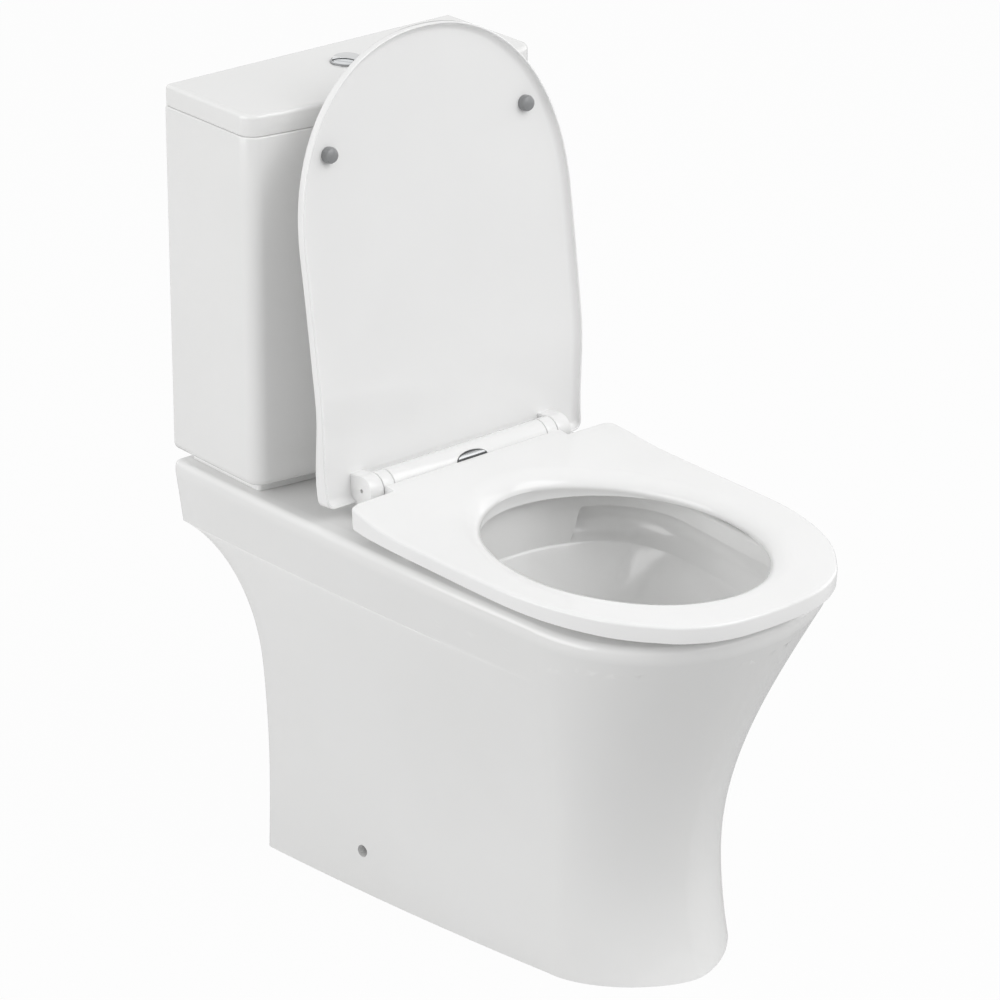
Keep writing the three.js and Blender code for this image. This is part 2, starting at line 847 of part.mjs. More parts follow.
function cistern() {
  const middleTurn = 45 * rad;
  const outside = loft([
    tankRing(tankEdge, tankBottom),
    tankRing(tankEdge * (1 - Math.sin(middleTurn)), tankBottom + tankEdge * (1 - Math.cos(middleTurn))),
    tankRing(0, tankBottom + tankEdge),
    tankRing(0, tankTop),
  ]);
  const footHeights = [rimHeight + gap, tankBottom + tankEdge];
  const foot = loft(footHeights.map((z) => tankRing(tankFootInset, z)));
  const floor = tankBottom + tankFloor;
  const room = loft([
    tankRing(tankWall * 2, floor),
    tankRing(tankWall, floor + tankWall),
    tankRing(tankWall, tankTop + overrun),
  ]);
  const low = rimHeight - overrun;
  const high = floor + overrun;
  let holes = drum(valveHole, low, high, 0, valvePlace, roundSides);
  holes = holes.add(drum(inletSocket * 2, low, tankBottom, 0, valvePlace, roundSides));
  holes = holes.add(drum(fillHole, low, high, fillSide, fillPlace));
  holes = holes.add(drum(fillNutRoom, low, tankBottom, fillSide, fillPlace, roundSides));
  for (const side of [-1, 1]) {
    holes = holes.add(drum(boltHole, low, high, (side * boltSpacing) / 2, valvePlace));
    const screw = new THREE.CylinderGeometry(tankScrewHole / 2, tankScrewHole / 2, tankWall * 3, smallSides);
    screw.translate((side * tankScrewSpacing) / 2, wallY, tankScrewHeight);
    holes = holes.add(solid(screw));
  }
  return outside.add(foot).subtract(room).subtract(holes);
}

function cisternLid() {
  const low = tankTop + gap;
  const high = tankTop + lidHeight;
  const middleTurn = 45 * rad;
  const slab = loft([
    tankRing(lidInset, low),
    tankRing(lidInset, high - lidEdge),
    tankRing(lidInset + lidEdge * (1 - Math.cos(middleTurn)), high - lidEdge * (1 - Math.sin(middleTurn))),
    tankRing(lidInset + lidEdge, high),
  ]);
  const lipOuter = tankWall + lidLipClearance;
  const lip = loft([tankRing(lipOuter, low - lidLipDepth), tankRing(lipOuter, low + overrun)]);
  const inside = lipOuter + lidLipWall;
  const room = loft([tankRing(inside, low - lidLipDepth - overrun), tankRing(inside, high - lidPlate)]);
  const hole = drum(bezelBody + gap * 2, low, high + overrun, 0, buttonPlace, roundSides);
  return slab.add(lip).subtract(room).subtract(hole);
}

// Dual-flush button: bezel, nut, two button tops split by a slanting line, and their rods
const bezelTop = tankTop + lidHeight + gap + bezelRise;
const bezelFlange = tankTop + lidHeight + gap;
const bezelFoot = bezelTop - bezelLength;

function splitSide(keepFull) {
  const reach = bezelSize;
  const edge = -buttonSplitOffset;
  const x0 = keepFull ? edge + gap / 2 : -reach;
  const x1 = keepFull ? reach : edge - gap / 2;
  const geometry = new THREE.BoxGeometry(x1 - x0, reach * 2, bezelLength * 2);
  geometry.translate((x0 + x1) / 2, 0, 0);
  geometry.rotateZ(buttonTurn * rad);
  const at = place(0, buttonPlace, bezelTop);
  geometry.translate(at.x, at.y, at.z);
  return solid(geometry);
}

// Where a rod stands, as a distance from the button's middle across the split
function rodPlace(offset) {
  return [offset * Math.cos(buttonTurn * rad), buttonPlace - offset * Math.sin(buttonTurn * rad)];
}

const rodPlaces = { full: rodPlace(fullRodOffset), half: rodPlace(-halfRodOffset) };

function buttonBezel() {
  const body = turned(
    [
      [bezelBore / 2, bezelFoot],
      [bezelBody / 2, bezelFoot],
      [bezelBody / 2, bezelFlange],
      [bezelSize / 2, bezelFlange],
      [bezelSize / 2, bezelFlange + bezelRise / 2],
      [bezelSize / 2 - bezelRise / 2, bezelTop],
      [bezelBore / 2, bezelTop],
    ],
    0,
    buttonPlace,
    roundSides,
  );
  let web = drum(bezelBore + overrun, bezelFoot, bezelFoot + bezelWeb, 0, buttonPlace, roundSides);
  for (const [x, fromWall] of Object.values(rodPlaces)) {
    web = web.subtract(drum(rodSize + gap * 2, bezelFoot - overrun, bezelTop, x, fromWall));
  }
  return body.add(web);
}

function bezelNut() {
  const high = tankTop + lidHeight - lidPlate - gap;
  const bore = bezelBody + gap * 2;
  return nut(bore, roundSides, bezelNutSize, bigNutFlats, high - bezelNutHeight, high, 0, buttonPlace);
}

function buttonTop(keepFull, rise) {
  const edge = buttonEdge;
  const high = bezelTop + rise;
  const low = bezelTop - buttonDepth;
  const radius = bezelBore / 2 - gap;
  const profile = [[0, low], [radius, low], [radius, high - edge], [radius - edge, high], [0, high]];
  return turned(profile, 0, buttonPlace, roundSides).intersect(splitSide(keepFull));
}

const headTop = tankBottom + tankFloor + valveWasherHeight + valveFlangeHeight + cageHeight + headHeight;
const wellFloor = headTop - headWellDepth;

function pushRod([x, fromWall]) {
  const low = wellFloor + buttonTravel + overrun;
  return drum(rodSize, low, bezelTop - buttonDepth - gap, x, fromWall);
}

// Flush valve: washer, base with its tail, cage, head, tube and seal
const floorTop = tankBottom + tankFloor;
const valveWasherLow = floorTop + gap;
const baseLow = valveWasherLow + valveWasherHeight + gap;
const baseHigh = baseLow + valveFlangeHeight;
const seatLevel = baseHigh + valveSeatHeight;

// Ring round the flush valve's axis
function valveRing(bore, size, low, high) {
  return ring(bore, size, low, high, 0, valvePlace, roundSides);
}

function flushValveBase() {
  return turned(
    [
      [valveBore / 2, tankBottom - valveTailDrop + gap],
      [valveTail / 2, tankBottom - valveTailDrop + gap],
      [valveTail / 2, baseLow],
      [valveFlange / 2, baseLow],
      [valveFlange / 2, baseHigh],
      [valveTail / 2, baseHigh],
      [valveTail / 2 - valveSeatHeight / 4, seatLevel],
      [valveBore / 2, seatLevel],
    ],
    0,
    valvePlace,
    roundSides,
  );
}

const cageLow = baseHigh + gap;
const cageHigh = cageLow + cageHeight - gap * 2;

function flushValveCage() {
  const outer = (cageRadius + cagePost / 2) * 2;
  const inner = (cageRadius - cagePost / 2) * 2;
  let cage = valveRing(inner, outer, cageLow, cageLow + cageRingHeight);
  const guideBore = tubeSize + gap * 4;
  cage = cage.add(valveRing(guideBore, outer, cageHigh - cageRingHeight, cageHigh));
  for (let i = 0; i < 4; i += 1) {
    const a = (i / 4 + 1 / 8) * Math.PI * 2;
    const x = cageRadius * Math.cos(a);
    const fromWall = valvePlace + cageRadius * Math.sin(a);
    cage = cage.add(drum(cagePost, cageLow + overrun, cageHigh - overrun, x, fromWall, 8));
  }
  return cage;
}

// The head stands on three feet so that overflow water can reach the tube's mouth
function flushValveHead() {
  const low = cageHigh + gap;
  const legs = headTop - headHeight + cageRingHeight;
  let head = drum(headSize, legs, headTop, 0, valvePlace, roundSides);
  for (let i = 0; i < 3; i += 1) {
    const a = (i / 3) * Math.PI * 2;
    const x = (headSize / 2 - cagePost / 2) * Math.cos(a);
    const fromWall = valvePlace + (headSize / 2 - cagePost / 2) * Math.sin(a);
    head = head.add(drum(cagePost / 2, low, legs + overrun, x, fromWall, 8));
  }
  for (const [x, fromWall] of Object.values(rodPlaces)) {
    head = head.subtract(drum(headWell, wellFloor, headTop + overrun, x, fromWall));
  }
  return head;
}

const sealLow = seatLevel + gap;
const flangeLow = sealLow + sealHeight + gap;

function flushTube() {
  return turned(
    [
      [tubeBore / 2, flangeLow],
      [tubeFlange / 2, flangeLow],
      [tubeFlange / 2, flangeLow + tubeFlangeHeight],
      [tubeSize / 2, flangeLow + tubeFlangeHeight],
      [tubeSize / 2, flangeLow + tubeLength],
      [tubeBore / 2, flangeLow + tubeLength],
    ],
    0,
    valvePlace,
    roundSides,
  );
}

function flushValveNut() {
  const high = tankBottom - gap;
  const bore = valveTail + gap * 2;
  return nut(bore, roundSides, valveNutSize, bigNutFlats, high - valveNutHeight, high, 0, valvePlace);
}

function doughnutGasket() {
  const nutHigh = tankBottom - gap;
  const nutLow = nutHigh - valveNutHeight;
  const low = nutLow - gap - gasketDrop;
  const outer = inletSocket - gap;
  const around = valveNutSize / 2 + gap;
  const hole = valveTail / 2 + gap;
  return turned(
    [
      [hole, low],
      [outer, low],
      [outer, nutHigh],
      [around, nutHigh],
      [around, nutLow - gap],
      [hole, nutLow - gap],
    ],
    0,
    valvePlace,
    roundSides,
  );
}

// Coupling bolt set: bolt and seal in the tank, washer and wing nut under the deck
function couplingBolt(x) {
  const sealTop = floorTop + gap + boltSealHeight;
  const headLow = sealTop + gap;
  return turned(
    [
      [0, headLow - boltDrop],
      [boltShank / 2, headLow - boltDrop],
      [boltShank / 2, headLow],
      [boltHead / 2, headLow],
      [boltHead / 2, headLow + boltHeadHeight],
      [0, headLow + boltHeadHeight],
    ],
    x,
    valvePlace,
  );
}

function boltSeal(x) {
  const low = floorTop + gap;
  return ring(boltShank + gap * 2, boltSealSize, low, low + boltSealHeight, x, valvePlace);
}

const deckUnder = rimHeight - deckThickness;

function couplingWasher(x) {
  const high = deckUnder - gap;
  return ring(boltShank + gap * 2, couplingWasherSize, high - couplingWasherHeight, high, x, valvePlace);
}

function wingNut(x) {
  const high = deckUnder - gap - couplingWasherHeight - gap;
  const low = high - wingNutHeight;
  const bore = drum(boltShank + gap * 2, low - overrun, high + overrun, x, valvePlace);
  const hub = drum(wingNutHub, low, high, x, valvePlace);
  const half = wingThickness / 2;
  const near = valvePlace - wingSpan / 2;
  const wings = wallBlock(x - half, x + half, near, near + wingSpan, low, high - overrun);
  return hub.add(wings).subtract(bore);
}

// Fill valve: washer, nut, body with its tail, cap and float
const fillWasherLow = floorTop + gap;
const fillFlangeLow = fillWasherLow + fillWasherHeight + gap;
const riserTop = fillFlangeLow + riserLength;

function fillValveBody() {
  const flangeTop = fillFlangeLow + fillFlangeHeight;
  const collarTop = riserTop - floatTravel - floatHeight - gap * 3;
  return turned(
    [
      [fillTailBore / 2, tankBottom - fillTailDrop],
      [fillTail / 2, tankBottom - fillTailDrop],
      [fillTail / 2, fillFlangeLow],
      [fillFlange / 2, fillFlangeLow],
      [fillFlange / 2, flangeTop],
      [riserSize / 2, flangeTop],
      [riserSize / 2, collarTop - riserCollarHeight],
      [riserCollarSize / 2, collarTop - riserCollarHeight],
      [riserCollarSize / 2, collarTop],
      [riserSize / 2, collarTop],
      [riserSize / 2, riserTop],
      [fillTailBore / 2, riserTop],
    ],
    fillSide,
    fillPlace,
  );
}

function fillValveFloat() {
  const low = riserTop - floatTravel - floatHeight - gap * 2;
  const high = low + floatHeight;
  const inner = riserSize / 2 + gap * 2;
  return turned(
    [
      [inner, low],
      [inner + floatWall, low],
      [inner + floatWall, high - floatWall],
      [floatSize / 2 - floatWall, high - floatWall],
      [floatSize / 2 - floatWall, low],
      [floatSize / 2, low],
      [floatSize / 2, high],
      [inner, high],
    ],
    fillSide,
    fillPlace,
    roundSides,
  );
}

function fillValveCap() {
  const low = riserTop + gap;
  return drum(fillCapSize, low, low + fillCapHeight, fillSide, fillPlace, roundSides);
}

function fillValveWasher() {
  const high = fillWasherLow + fillWasherHeight;
  return ring(fillTail + gap * 2, fillFlange, fillWasherLow, high, fillSide, fillPlace);
}

function fillValveNut() {
  const high = tankBottom - gap;
  const bore = fillTail + gap * 2;
  return nut(bore, smallSides, fillNutSize, nutFlats, high - fillNutHeight, high, fillSide, fillPlace);
}

// Hinge: fixed bar with ears over the posts, pins, dampers, posts and the release tab
const hingeY = wallY - hingePlace;
const footPlateTop = rimHeight + gap + hingeFootRise;

// The release tab's outline, seen along the way it is pressed: a bow with a straight lower edge
function tabShape(grow) {
  const rise = 2 * hingeRadius * Math.sin(((tabHighAngle - tabLowAngle) / 2) * rad);
  const low = -rise / 2 - grow;
  const half = tabWidth / 2 + grow;
  const shape = new THREE.Shape();
  shape.moveTo(-half, low);
  shape.lineTo(half, low);
  const steps = 12;
  for (let i = 1; i < steps; i += 1) {
    const a = (i / steps) * Math.PI;
    shape.lineTo(half * Math.cos(a), low + (rise + grow * 2) * Math.sin(a));
  }
  return shape;
}

function tabPrism(grow, inner, outer) {
  const geometry = new THREE.ExtrudeGeometry(tabShape(grow), { depth: outer - inner, bevelEnabled: false });
  geometry.translate(0, 0, inner);
  const middle = ((tabLowAngle + tabHighAngle) / 2) * rad;
  geometry.rotateX(Math.PI / 2 - middle);
  geometry.translate(0, hingeY, hingeHeight);
  return solid(geometry);
}

function axisDrum(radius, half, sides = roundSides) {
  return crossDrum(radius, -half, half, hingeY, hingeHeight, sides);
}

// Cylinder on the hinge axis between two distances from the middle, on one side
function sideDrum(radius, side, near, far, sides = smallSides) {
  const ends = [side * near, side * far].sort((a, b) => a - b);
  return crossDrum(radius, ends[0], ends[1], hingeY, hingeHeight, sides);
}

function releaseTab() {
  const outer = hingeRadius + tabRise;
  const skin = axisDrum(outer, tabWidth).subtract(axisDrum(outer - tabThickness, tabWidth + overrun));
  return skin.intersect(tabPrism(0, 0, hingeRadius * 2));
}

const damperRoom = damperSize / 2 + gap;
const damperEnd = barHalf - gap;
const damperStart = damperEnd - damperLength;

function hingeBar() {
  let bar = axisDrum(hingeRadius, barHalf, 32);
  for (const side of [-1, 1]) {
    const x = (side * seatBoltSpacing) / 2;
    const y0 = hingeY - barEarDepth;
    const y1 = hingeY + barEarDepth;
    bar = bar.add(block(x - barEarHalf, x + barEarHalf, y0, y1, footPlateTop + gap, hingeHeight - overrun));
    const postTop = footPlateTop + hingePostHeight + gap;
    bar = bar.subtract(drum(hingePostSize + gap * 2, footPlateTop, postTop, x, hingePlace));
    bar = bar.subtract(sideDrum(damperRoom, side, damperStart - gap, barHalf + overrun));
  }
  const pocketFloor = hingeRadius + tabRise - tabThickness - tabTravel - gap;
  const pocket = tabPrism(gap, 0, hingeRadius * 2).subtract(axisDrum(pocketFloor, tabWidth));
  return bar.subtract(pocket);
}

const pinEnd = barHalf + knuckleGap + seatKnuckle + knuckleGap + lidKnuckle - pinEndWall - gap;

function hingePin(side) {
  return sideDrum(pinSize / 2, side, pinEnd - pinLength, pinEnd);
}

// The damper turns the pin, which stands in a socket in its outer end
function damper(side) {
  const body = sideDrum(damperSize / 2, side, damperStart, damperEnd);
  return body.subtract(sideDrum(pinSize / 2 + gap, side, pinEnd - pinLength - gap, damperEnd + overrun));
}

function hingePost(side) {
  const plate = rimHeight + gap;
  return turned(
    [
      [0, plate - hingeStudDrop],
      [hingeStud / 2, plate - hingeStudDrop],
      [hingeStud / 2, plate],
      [hingeFootSize / 2, plate],
      [hingeFootSize / 2, footPlateTop],
      [hingePostSize / 2, footPlateTop],
      [hingePostSize / 2, footPlateTop + hingePostHeight],
      [0, footPlateTop + hingePostHeight],
    ],
    (side * seatBoltSpacing) / 2,
    hingePlace,
  );
}

function seatWasher(side) {
  const high = deckUnder - gap;
  const x = (side * seatBoltSpacing) / 2;
  return ring(hingeStud + gap * 2, seatWasherSize, high - seatWasherHeight, high, x, hingePlace);
}

function seatNut(side) {
  const high = deckUnder - gap - seatWasherHeight - gap;
  const bore = hingeStud + gap * 2;
  const x = (side * seatBoltSpacing) / 2;
  return nut(bore, smallSides, seatNutSize, nutFlats, high - seatNutHeight, high, x, hingePlace);
}

// The seat and its cover share one gently waved profile: high at the hinge, low in the middle
function smooth(t) {
  const part = Math.min(1, Math.max(0, t));
  return part * part * (3 - 2 * part);
}

function waveAt(fromHinge) {
  const rear = seatRearRise * (1 - smooth(fromHinge / seatRearRiseLength));
  return rear + seatFrontRise * smooth((fromHinge - seatFrontRiseStart) / seatFrontRiseLength);
}

// Outline of the ring in front of its rear corners, in shares of its half width and of its length
const seatOuterShares = [
  [0.992, 0.129],
  [0.999, 0.192],
  [0.999, 0.266],
  [0.996, 0.34],
  [0.994, 0.424],
  [0.989, 0.519],
  [0.979, 0.593],
  [0.959, 0.656],
  [0.922, 0.719],
  [0.872, 0.776],
  [0.815, 0.825],
  [0.742, 0.869],
  [0.664, 0.905],
  [0.58, 0.939],
  [0.482, 0.964],
  [0.387, 0.981],
  [0.235, 0.995],
  [0, 1],
];

const seatTongueSteps = 4;

// Stations from the middle of the rear, where the ring reaches back to the bar, to the front
function seatOuterHalf() {
  const tongue = hingePlace + hingeRadius + seatTongueGap;
  const back = hingePlace + seatRearGap;
  const points = [];
  for (let i = 0; i <= seatTongueSteps; i += 1) {
    points.push({ x: (seatKnuckleEnd * i) / seatTongueSteps, fromWall: tongue, round: seatTongueRound });
  }
  points.push({ x: seatKnuckleEnd, fromWall: back, round: seatTongueRound });
  for (const turn of [0, 45, 90]) {
    points.push({
      x: seatRearHalf - seatCorner + seatCorner * Math.sin(turn * rad),
      fromWall: back + seatCorner - seatCorner * Math.cos(turn * rad),
      round: seatOuterRound,
    });
  }
  for (const [across, along] of seatOuterShares) {
    points.push({ x: seatHalf * across, fromWall: hingePlace + seatReach * along, round: seatOuterRound });
  }
  return points;
}

// Point of the hole that faces each outer point
const holeTurnShares = [0, 0.05, 0.1, 0.15, 0.2, 0.215, 0.24, 0.26, 0.28, 0.31, 0.345, 0.385, 0.42, 0.46];

function seatHolePoint(index, count) {
  const listed = holeTurnShares.length;
  const last = holeTurnShares[listed - 1];
  const share =
    index < listed ? holeTurnShares[index] : lerp(last, 1, (index - listed + 1) / (count - listed));
  const turn = share * Math.PI;
  const ahead = -Math.cos(turn);
  const reach = ahead < 0 ? holeWaist - holeRear : holeFront - holeWaist;
  return { x: holeHalf * Math.sin(turn), fromWall: holeWaist + reach * ahead };
}

// Profiles at the two edges: [share of the rounding's width, share of the drop below the top]
const outerProfile = [[0, 1], [0.35, 0.35], [1, 0]];
const innerProfile = [[1, 0], [0.6, 0.1], [0.3, 0.33], [0.1, 0.68], [0, 1]];

function seatRing() {
  const half = seatOuterHalf();
  const sections = half.map((outer, i) => seatSection(outer, seatHolePoint(i, half.length)));
  const mirrored = sections
    .slice(1, -1)
    .map((section) => section.map((p) => new THREE.Vector3(-p.x, p.y, p.z)))
    .reverse();
  const body = closedLoop([...sections, ...mirrored]);
  return body.add(seatKnuckles()).subtract(lidKnuckleRoom()).subtract(pinBores());
}

function seatSection(outer, inner) {
  const width = Math.hypot(inner.x - outer.x, inner.fromWall - outer.fromWall);
  const at = (across, down) => {
    const share = across / width;
    const fromWall = lerp(outer.fromWall, inner.fromWall, share);
    const top = seatTop + waveAt(fromWall - hingePlace);
    return place(lerp(outer.x, inner.x, share), fromWall, down === undefined ? seatUnderside : top - down);
  };
  const section = outerProfile.map(([out, down]) => at(out * outer.round, down * outer.round));
  const innerStart = width - seatInnerRound;
  for (const share of [1 / 3, 2 / 3]) section.push(at(lerp(outer.round, innerStart, share), 0));
  const innerDrop = seatTop - seatUnderside - seatOuterRound;
  for (const [inward, down] of innerProfile) {
    section.push(at(width - inward * seatInnerRound, down * innerDrop));
  }
  section.push(at(width - seatOuterRound));
  section.push(at(outer.round / 2));
  return section;
}

// Skin round a closed loop of sections
function closedLoop(sections) {
  const count = sections[0].length;
  const places = sections.flat().flatMap((p) => [p.x, p.y, p.z]);
  const index = [];
  for (let s = 0; s < sections.length; s += 1) {
    const next = (s + 1) % sections.length;
    for (let i = 0; i < count; i += 1) {
      const j = (i + 1) % count;
      const a = s * count + i;
      const b = s * count + j;
      const c = next * count + j;
      const d = next * count + i;
      index.push(a, b, c, a, c, d);
    }
  }
  const geometry = new THREE.BufferGeometry();
  geometry.setAttribute("position", new THREE.Float32BufferAttribute(places, 3));
  geometry.setIndex(index);
  const body = solid(geometry);
  return body.volume() < 0 ? solid(turnedOut(geometry)) : body;
}

const seatKnuckleStart = barHalf + knuckleGap;
const seatKnuckleEnd = seatKnuckleStart + seatKnuckle;
const lidKnuckleStart = seatKnuckleEnd + knuckleGap;
const lidKnuckleEnd = lidKnuckleStart + lidKnuckle;

function seatKnuckles() {
  const far = hingePlace + hingeRadius + seatTongueGap + seatOuterRound;
  const low = hingeHeight - hingeRadius;
  const high = seatTop + waveAt(far - hingePlace) - seatTongueRound;
  const arms = [];
  for (const side of [-1, 1]) {
    const ends = [side * seatKnuckleStart, side * seatKnuckleEnd].sort((a, b) => a - b);
    arms.push(sideDrum(hingeRadius, side, seatKnuckleStart, seatKnuckleEnd, roundSides));
    arms.push(wallBlock(ends[0], ends[1], hingePlace, far, low, high));
  }
  return arms.reduce((all, arm) => all.add(arm));
}

function lidKnuckleRoom() {
  const radius = hingeRadius + seatTongueGap;
  const rooms = [-1, 1].map((side) =>
    sideDrum(radius, side, seatKnuckleEnd + gap, lidKnuckleEnd + knuckleGap, roundSides),
  );
  return rooms[0].add(rooms[1]);
}

function pinBores() {
  const reach = pinEnd + gap;
  return axisDrum(pinSize / 2 + gap, reach, smallSides);
}

// Seat bumpers, two at the front and two at the rear, from the ring down to the rim
const seatBumperPlaces = {
  seat_bumper_rear_left: [-1, 0.85, rearBumperPlace],
  seat_bumper_rear_right: [1, 0.85, rearBumperPlace],
  seat_bumper_front_left: [-1, 0.55, frontBumperPlace],
  seat_bumper_front_right: [1, 0.55, frontBumperPlace],
};

function seatBumper([side, acrossShare, fromWall]) {
  const x = side * seatHalf * acrossShare;
  return drum(seatBumperSize, rimHeight + gap, seatUnderside - gap, x, fromWall);
}

// Cover, drawn in its own frame: X across, Y up along the cover from the hinge axis, Z to its front
function coverHalfOutline() {
  const bottom = -coverBelow;
  const points = [[0, bottom - coverFootBow]];
  for (const turn of [0, 30, 60, 90]) {
    const x = coverFootHalf - coverCorner + coverCorner * Math.sin(turn * rad);
    points.push([x, bottom + coverCorner - coverCorner * Math.cos(turn * rad)]);
  }
  const start = bottom + coverCorner;
  for (const share of [0.12, 0.26, 0.4, 0.55, 0.7, 0.84, 1]) {
    const ease = Math.sin((share * Math.PI) / 2);
    points.push([lerp(coverFootHalf, coverHalf, ease), lerp(start, coverWaist, share)]);
  }
  for (const share of [0.35, 0.7, 1]) points.push([coverHalf, lerp(coverWaist, coverShoulder, share)]);
  for (const [across, along] of roundedQuarter(coverPower, 11)) {
    points.push([coverHalf * across, coverShoulder + (coverLength - coverShoulder) * along]);
  }
  return points;
}

// Ring of the cover's outline moved inwards, at a depth behind its waved rim. Near the hinge the
// cover is thicker and its side upright, so insets shrink and depths grow there when asked.
function coverRing(inset, depth, footInset = inset, footDepth = depth) {
  const half = coverHalfOutline();
  const whole = [
    ...half.map(([x, y]) => new THREE.Vector2(x, y)),
    ...half.slice(1, -1).map(([x, y]) => new THREE.Vector2(-x, y)).reverse(),
  ];
  return whole.map((p, i) => {
    const before = whole[(i + whole.length - 1) % whole.length];
    const after = whole[(i + 1) % whole.length];
    const along = after.clone().sub(before).normalize();
    const inward = new THREE.Vector2(-along.y, along.x);
    const share = smooth(p.y / coverThickLength);
    const moved = p.clone().add(inward.multiplyScalar(lerp(footInset, inset, share)));
    return new THREE.Vector3(moved.x, moved.y, -waveAt(p.y) - lerp(footDepth, depth, share));
  });
}

function coverShell() {
  const edge = coverRimWidth / 2;
  const slope = coverDepth - coverSide;
  const footSlope = coverFootDepth - coverFootSide;
  const outside = loft([
    coverRing(coverSlopeWidth, coverDepth, footSlope * 2, coverFootDepth),
    coverRing(coverSlopeWidth * 0.4, coverSide + slope * 0.8, footSlope, coverFootDepth - footSlope / 3),
    coverRing(coverSlopeWidth * 0.1, coverSide + slope * 0.4, footSlope / 2, coverFootSide + footSlope / 3),
    coverRing(0, coverSide, 0, coverFootSide),
    coverRing(0, edge),
    coverRing(edge, 0),
  ], true);
  const cove = coverRimWidth + coverCoveWidth;
  const room = loft([
    coverRing(cove, coverRecess),
    coverRing(coverRimWidth + coverCoveWidth * 0.45, coverRecess * 0.85),
    coverRing(coverRimWidth + coverCoveWidth * 0.12, coverRecess * 0.5),
    coverRing(coverRimWidth, 0),
    coverRing(coverRimWidth, -coverRecess * 2),
  ], true);
  const side = coverRimGapHalf;
  const floor = -waveAt(0) - coverRecess;
  const bottomRoom = block(-side, side, -coverBelow - overrun, coverBelow, floor, coverRecess);
  return outside.subtract(room).subtract(bottomRoom);
}

// A knuckle that reaches back to the cover's panel as a round-ended block
function coverArm(side) {
  const panel = -waveAt(0) - coverRecess - overrun;
  const shape = new THREE.Shape();
  shape.moveTo(-hingeRadius, panel);
  for (let turn = -90; turn <= 90; turn += 15) {
    shape.lineTo(hingeRadius * Math.sin(turn * rad), hingeRadius * Math.cos(turn * rad));
  }
  shape.lineTo(hingeRadius, panel);
  const geometry = new THREE.ExtrudeGeometry(shape, { depth: lidKnuckle, bevelEnabled: false });
  geometry.applyMatrix4(new THREE.Matrix4().set(0, 0, 1, 0, 1, 0, 0, 0, 0, 1, 0, 0, 0, 0, 0, 1));
  geometry.translate(side > 0 ? lidKnuckleStart : -lidKnuckleEnd, 0, 0);
  const body = solid(geometry);
  return body.volume() < 0 ? solid(turnedOut(mergedOnly(geometry))) : body;
}

function seatCover() {
  let cover = coverShell().add(coverArm(-1)).add(coverArm(1));
  cover = cover.subtract(crossDrum(pinSize / 2 + gap, -pinEnd - gap, pinEnd + gap, 0, 0));
  return cover.subtract(crossDrum(pinPeephole / 2, -lidKnuckleEnd - overrun, lidKnuckleEnd + overrun, 0, 0));
}

// The bumpers reach from the recess to just above the closed seat
function coverBumper(side) {
  const wave = waveAt(coverBumperPlace);
  const foot = -wave - coverRecess + gap;
  const height = hingeHeight - (seatTop + wave) - gap - foot;
  const radius = coverBumperSize / 2;
  const profile = [[0, 0], [radius, 0], [radius, height * 0.55]];
  profile.push([radius * 0.85, height * 0.82], [radius * 0.5, height * 0.96], [0, height]);
  const points = profile.map(([r, z]) => new THREE.Vector2(r, z));
  const geometry = new THREE.LatheGeometry(points, smallSides);
  geometry.rotateX(Math.PI / 2);
  geometry.translate(side * coverBumperSide, coverBumperPlace, foot);
  return solid(geometry);
}

// Assembly
const toilet = new THREE.Group();
toilet.add(piece("pan", pan(), glaze()));
toilet.add(piece("cistern", cistern(), glaze()));
toilet.add(piece("cistern_lid", cisternLid(), glaze()));

toilet.add(piece("button_bezel", buttonBezel(), chrome()));
toilet.add(piece("bezel_nut", bezelNut(), valvePlastic()));
toilet.add(piece("full_flush_button", buttonTop(true, fullButtonRise), chrome()));
toilet.add(piece("half_flush_button", buttonTop(false, halfButtonRise), chrome()));
toilet.add(piece("full_flush_rod", pushRod(rodPlaces.full), bluePlastic()));
toilet.add(piece("half_flush_rod", pushRod(rodPlaces.half), bluePlastic()));

const valveWasherHigh = valveWasherLow + valveWasherHeight;
const valveWasher = valveRing(valveTail + gap * 2, valveFlange, valveWasherLow, valveWasherHigh);
toilet.add(piece("valve_washer", valveWasher, blackRubber()));
toilet.add(piece("flush_valve_base", flushValveBase(), valvePlastic()));
toilet.add(piece("flush_valve_cage", flushValveCage(), valvePlastic()));
toilet.add(piece("flush_valve_head", flushValveHead(), bluePlastic()));
toilet.add(piece("flush_tube", flushTube(), valvePlastic()));
const flushSeal = valveRing(sealBore, tubeFlange, sealLow, sealLow + sealHeight);
toilet.add(piece("flush_seal", flushSeal, greyRubber()));
toilet.add(piece("flush_valve_nut", flushValveNut(), valvePlastic()));
toilet.add(piece("doughnut_gasket", doughnutGasket(), blackRubber()));

for (const [name, side] of [["left", -1], ["right", 1]]) {
  const boltX = (side * boltSpacing) / 2;
  toilet.add(piece(`coupling_bolt_${name}`, couplingBolt(boltX), brass()));
  toilet.add(piece(`bolt_seal_${name}`, boltSeal(boltX), blackRubber()));
  toilet.add(piece(`coupling_washer_${name}`, couplingWasher(boltX), steel()));
  toilet.add(piece(`wing_nut_${name}`, wingNut(boltX), brass()));
  toilet.add(piece(`hinge_pin_${name}`, hingePin(side), steel()));
  toilet.add(piece(`hinge_damper_${name}`, damper(side), valvePlastic()));
  toilet.add(piece(`hinge_post_${name}`, hingePost(side), steel()));
  toilet.add(piece(`seat_washer_${name}`, seatWasher(side), blackRubber()));
  toilet.add(piece(`seat_nut_${name}`, seatNut(side), valvePlastic()));
}

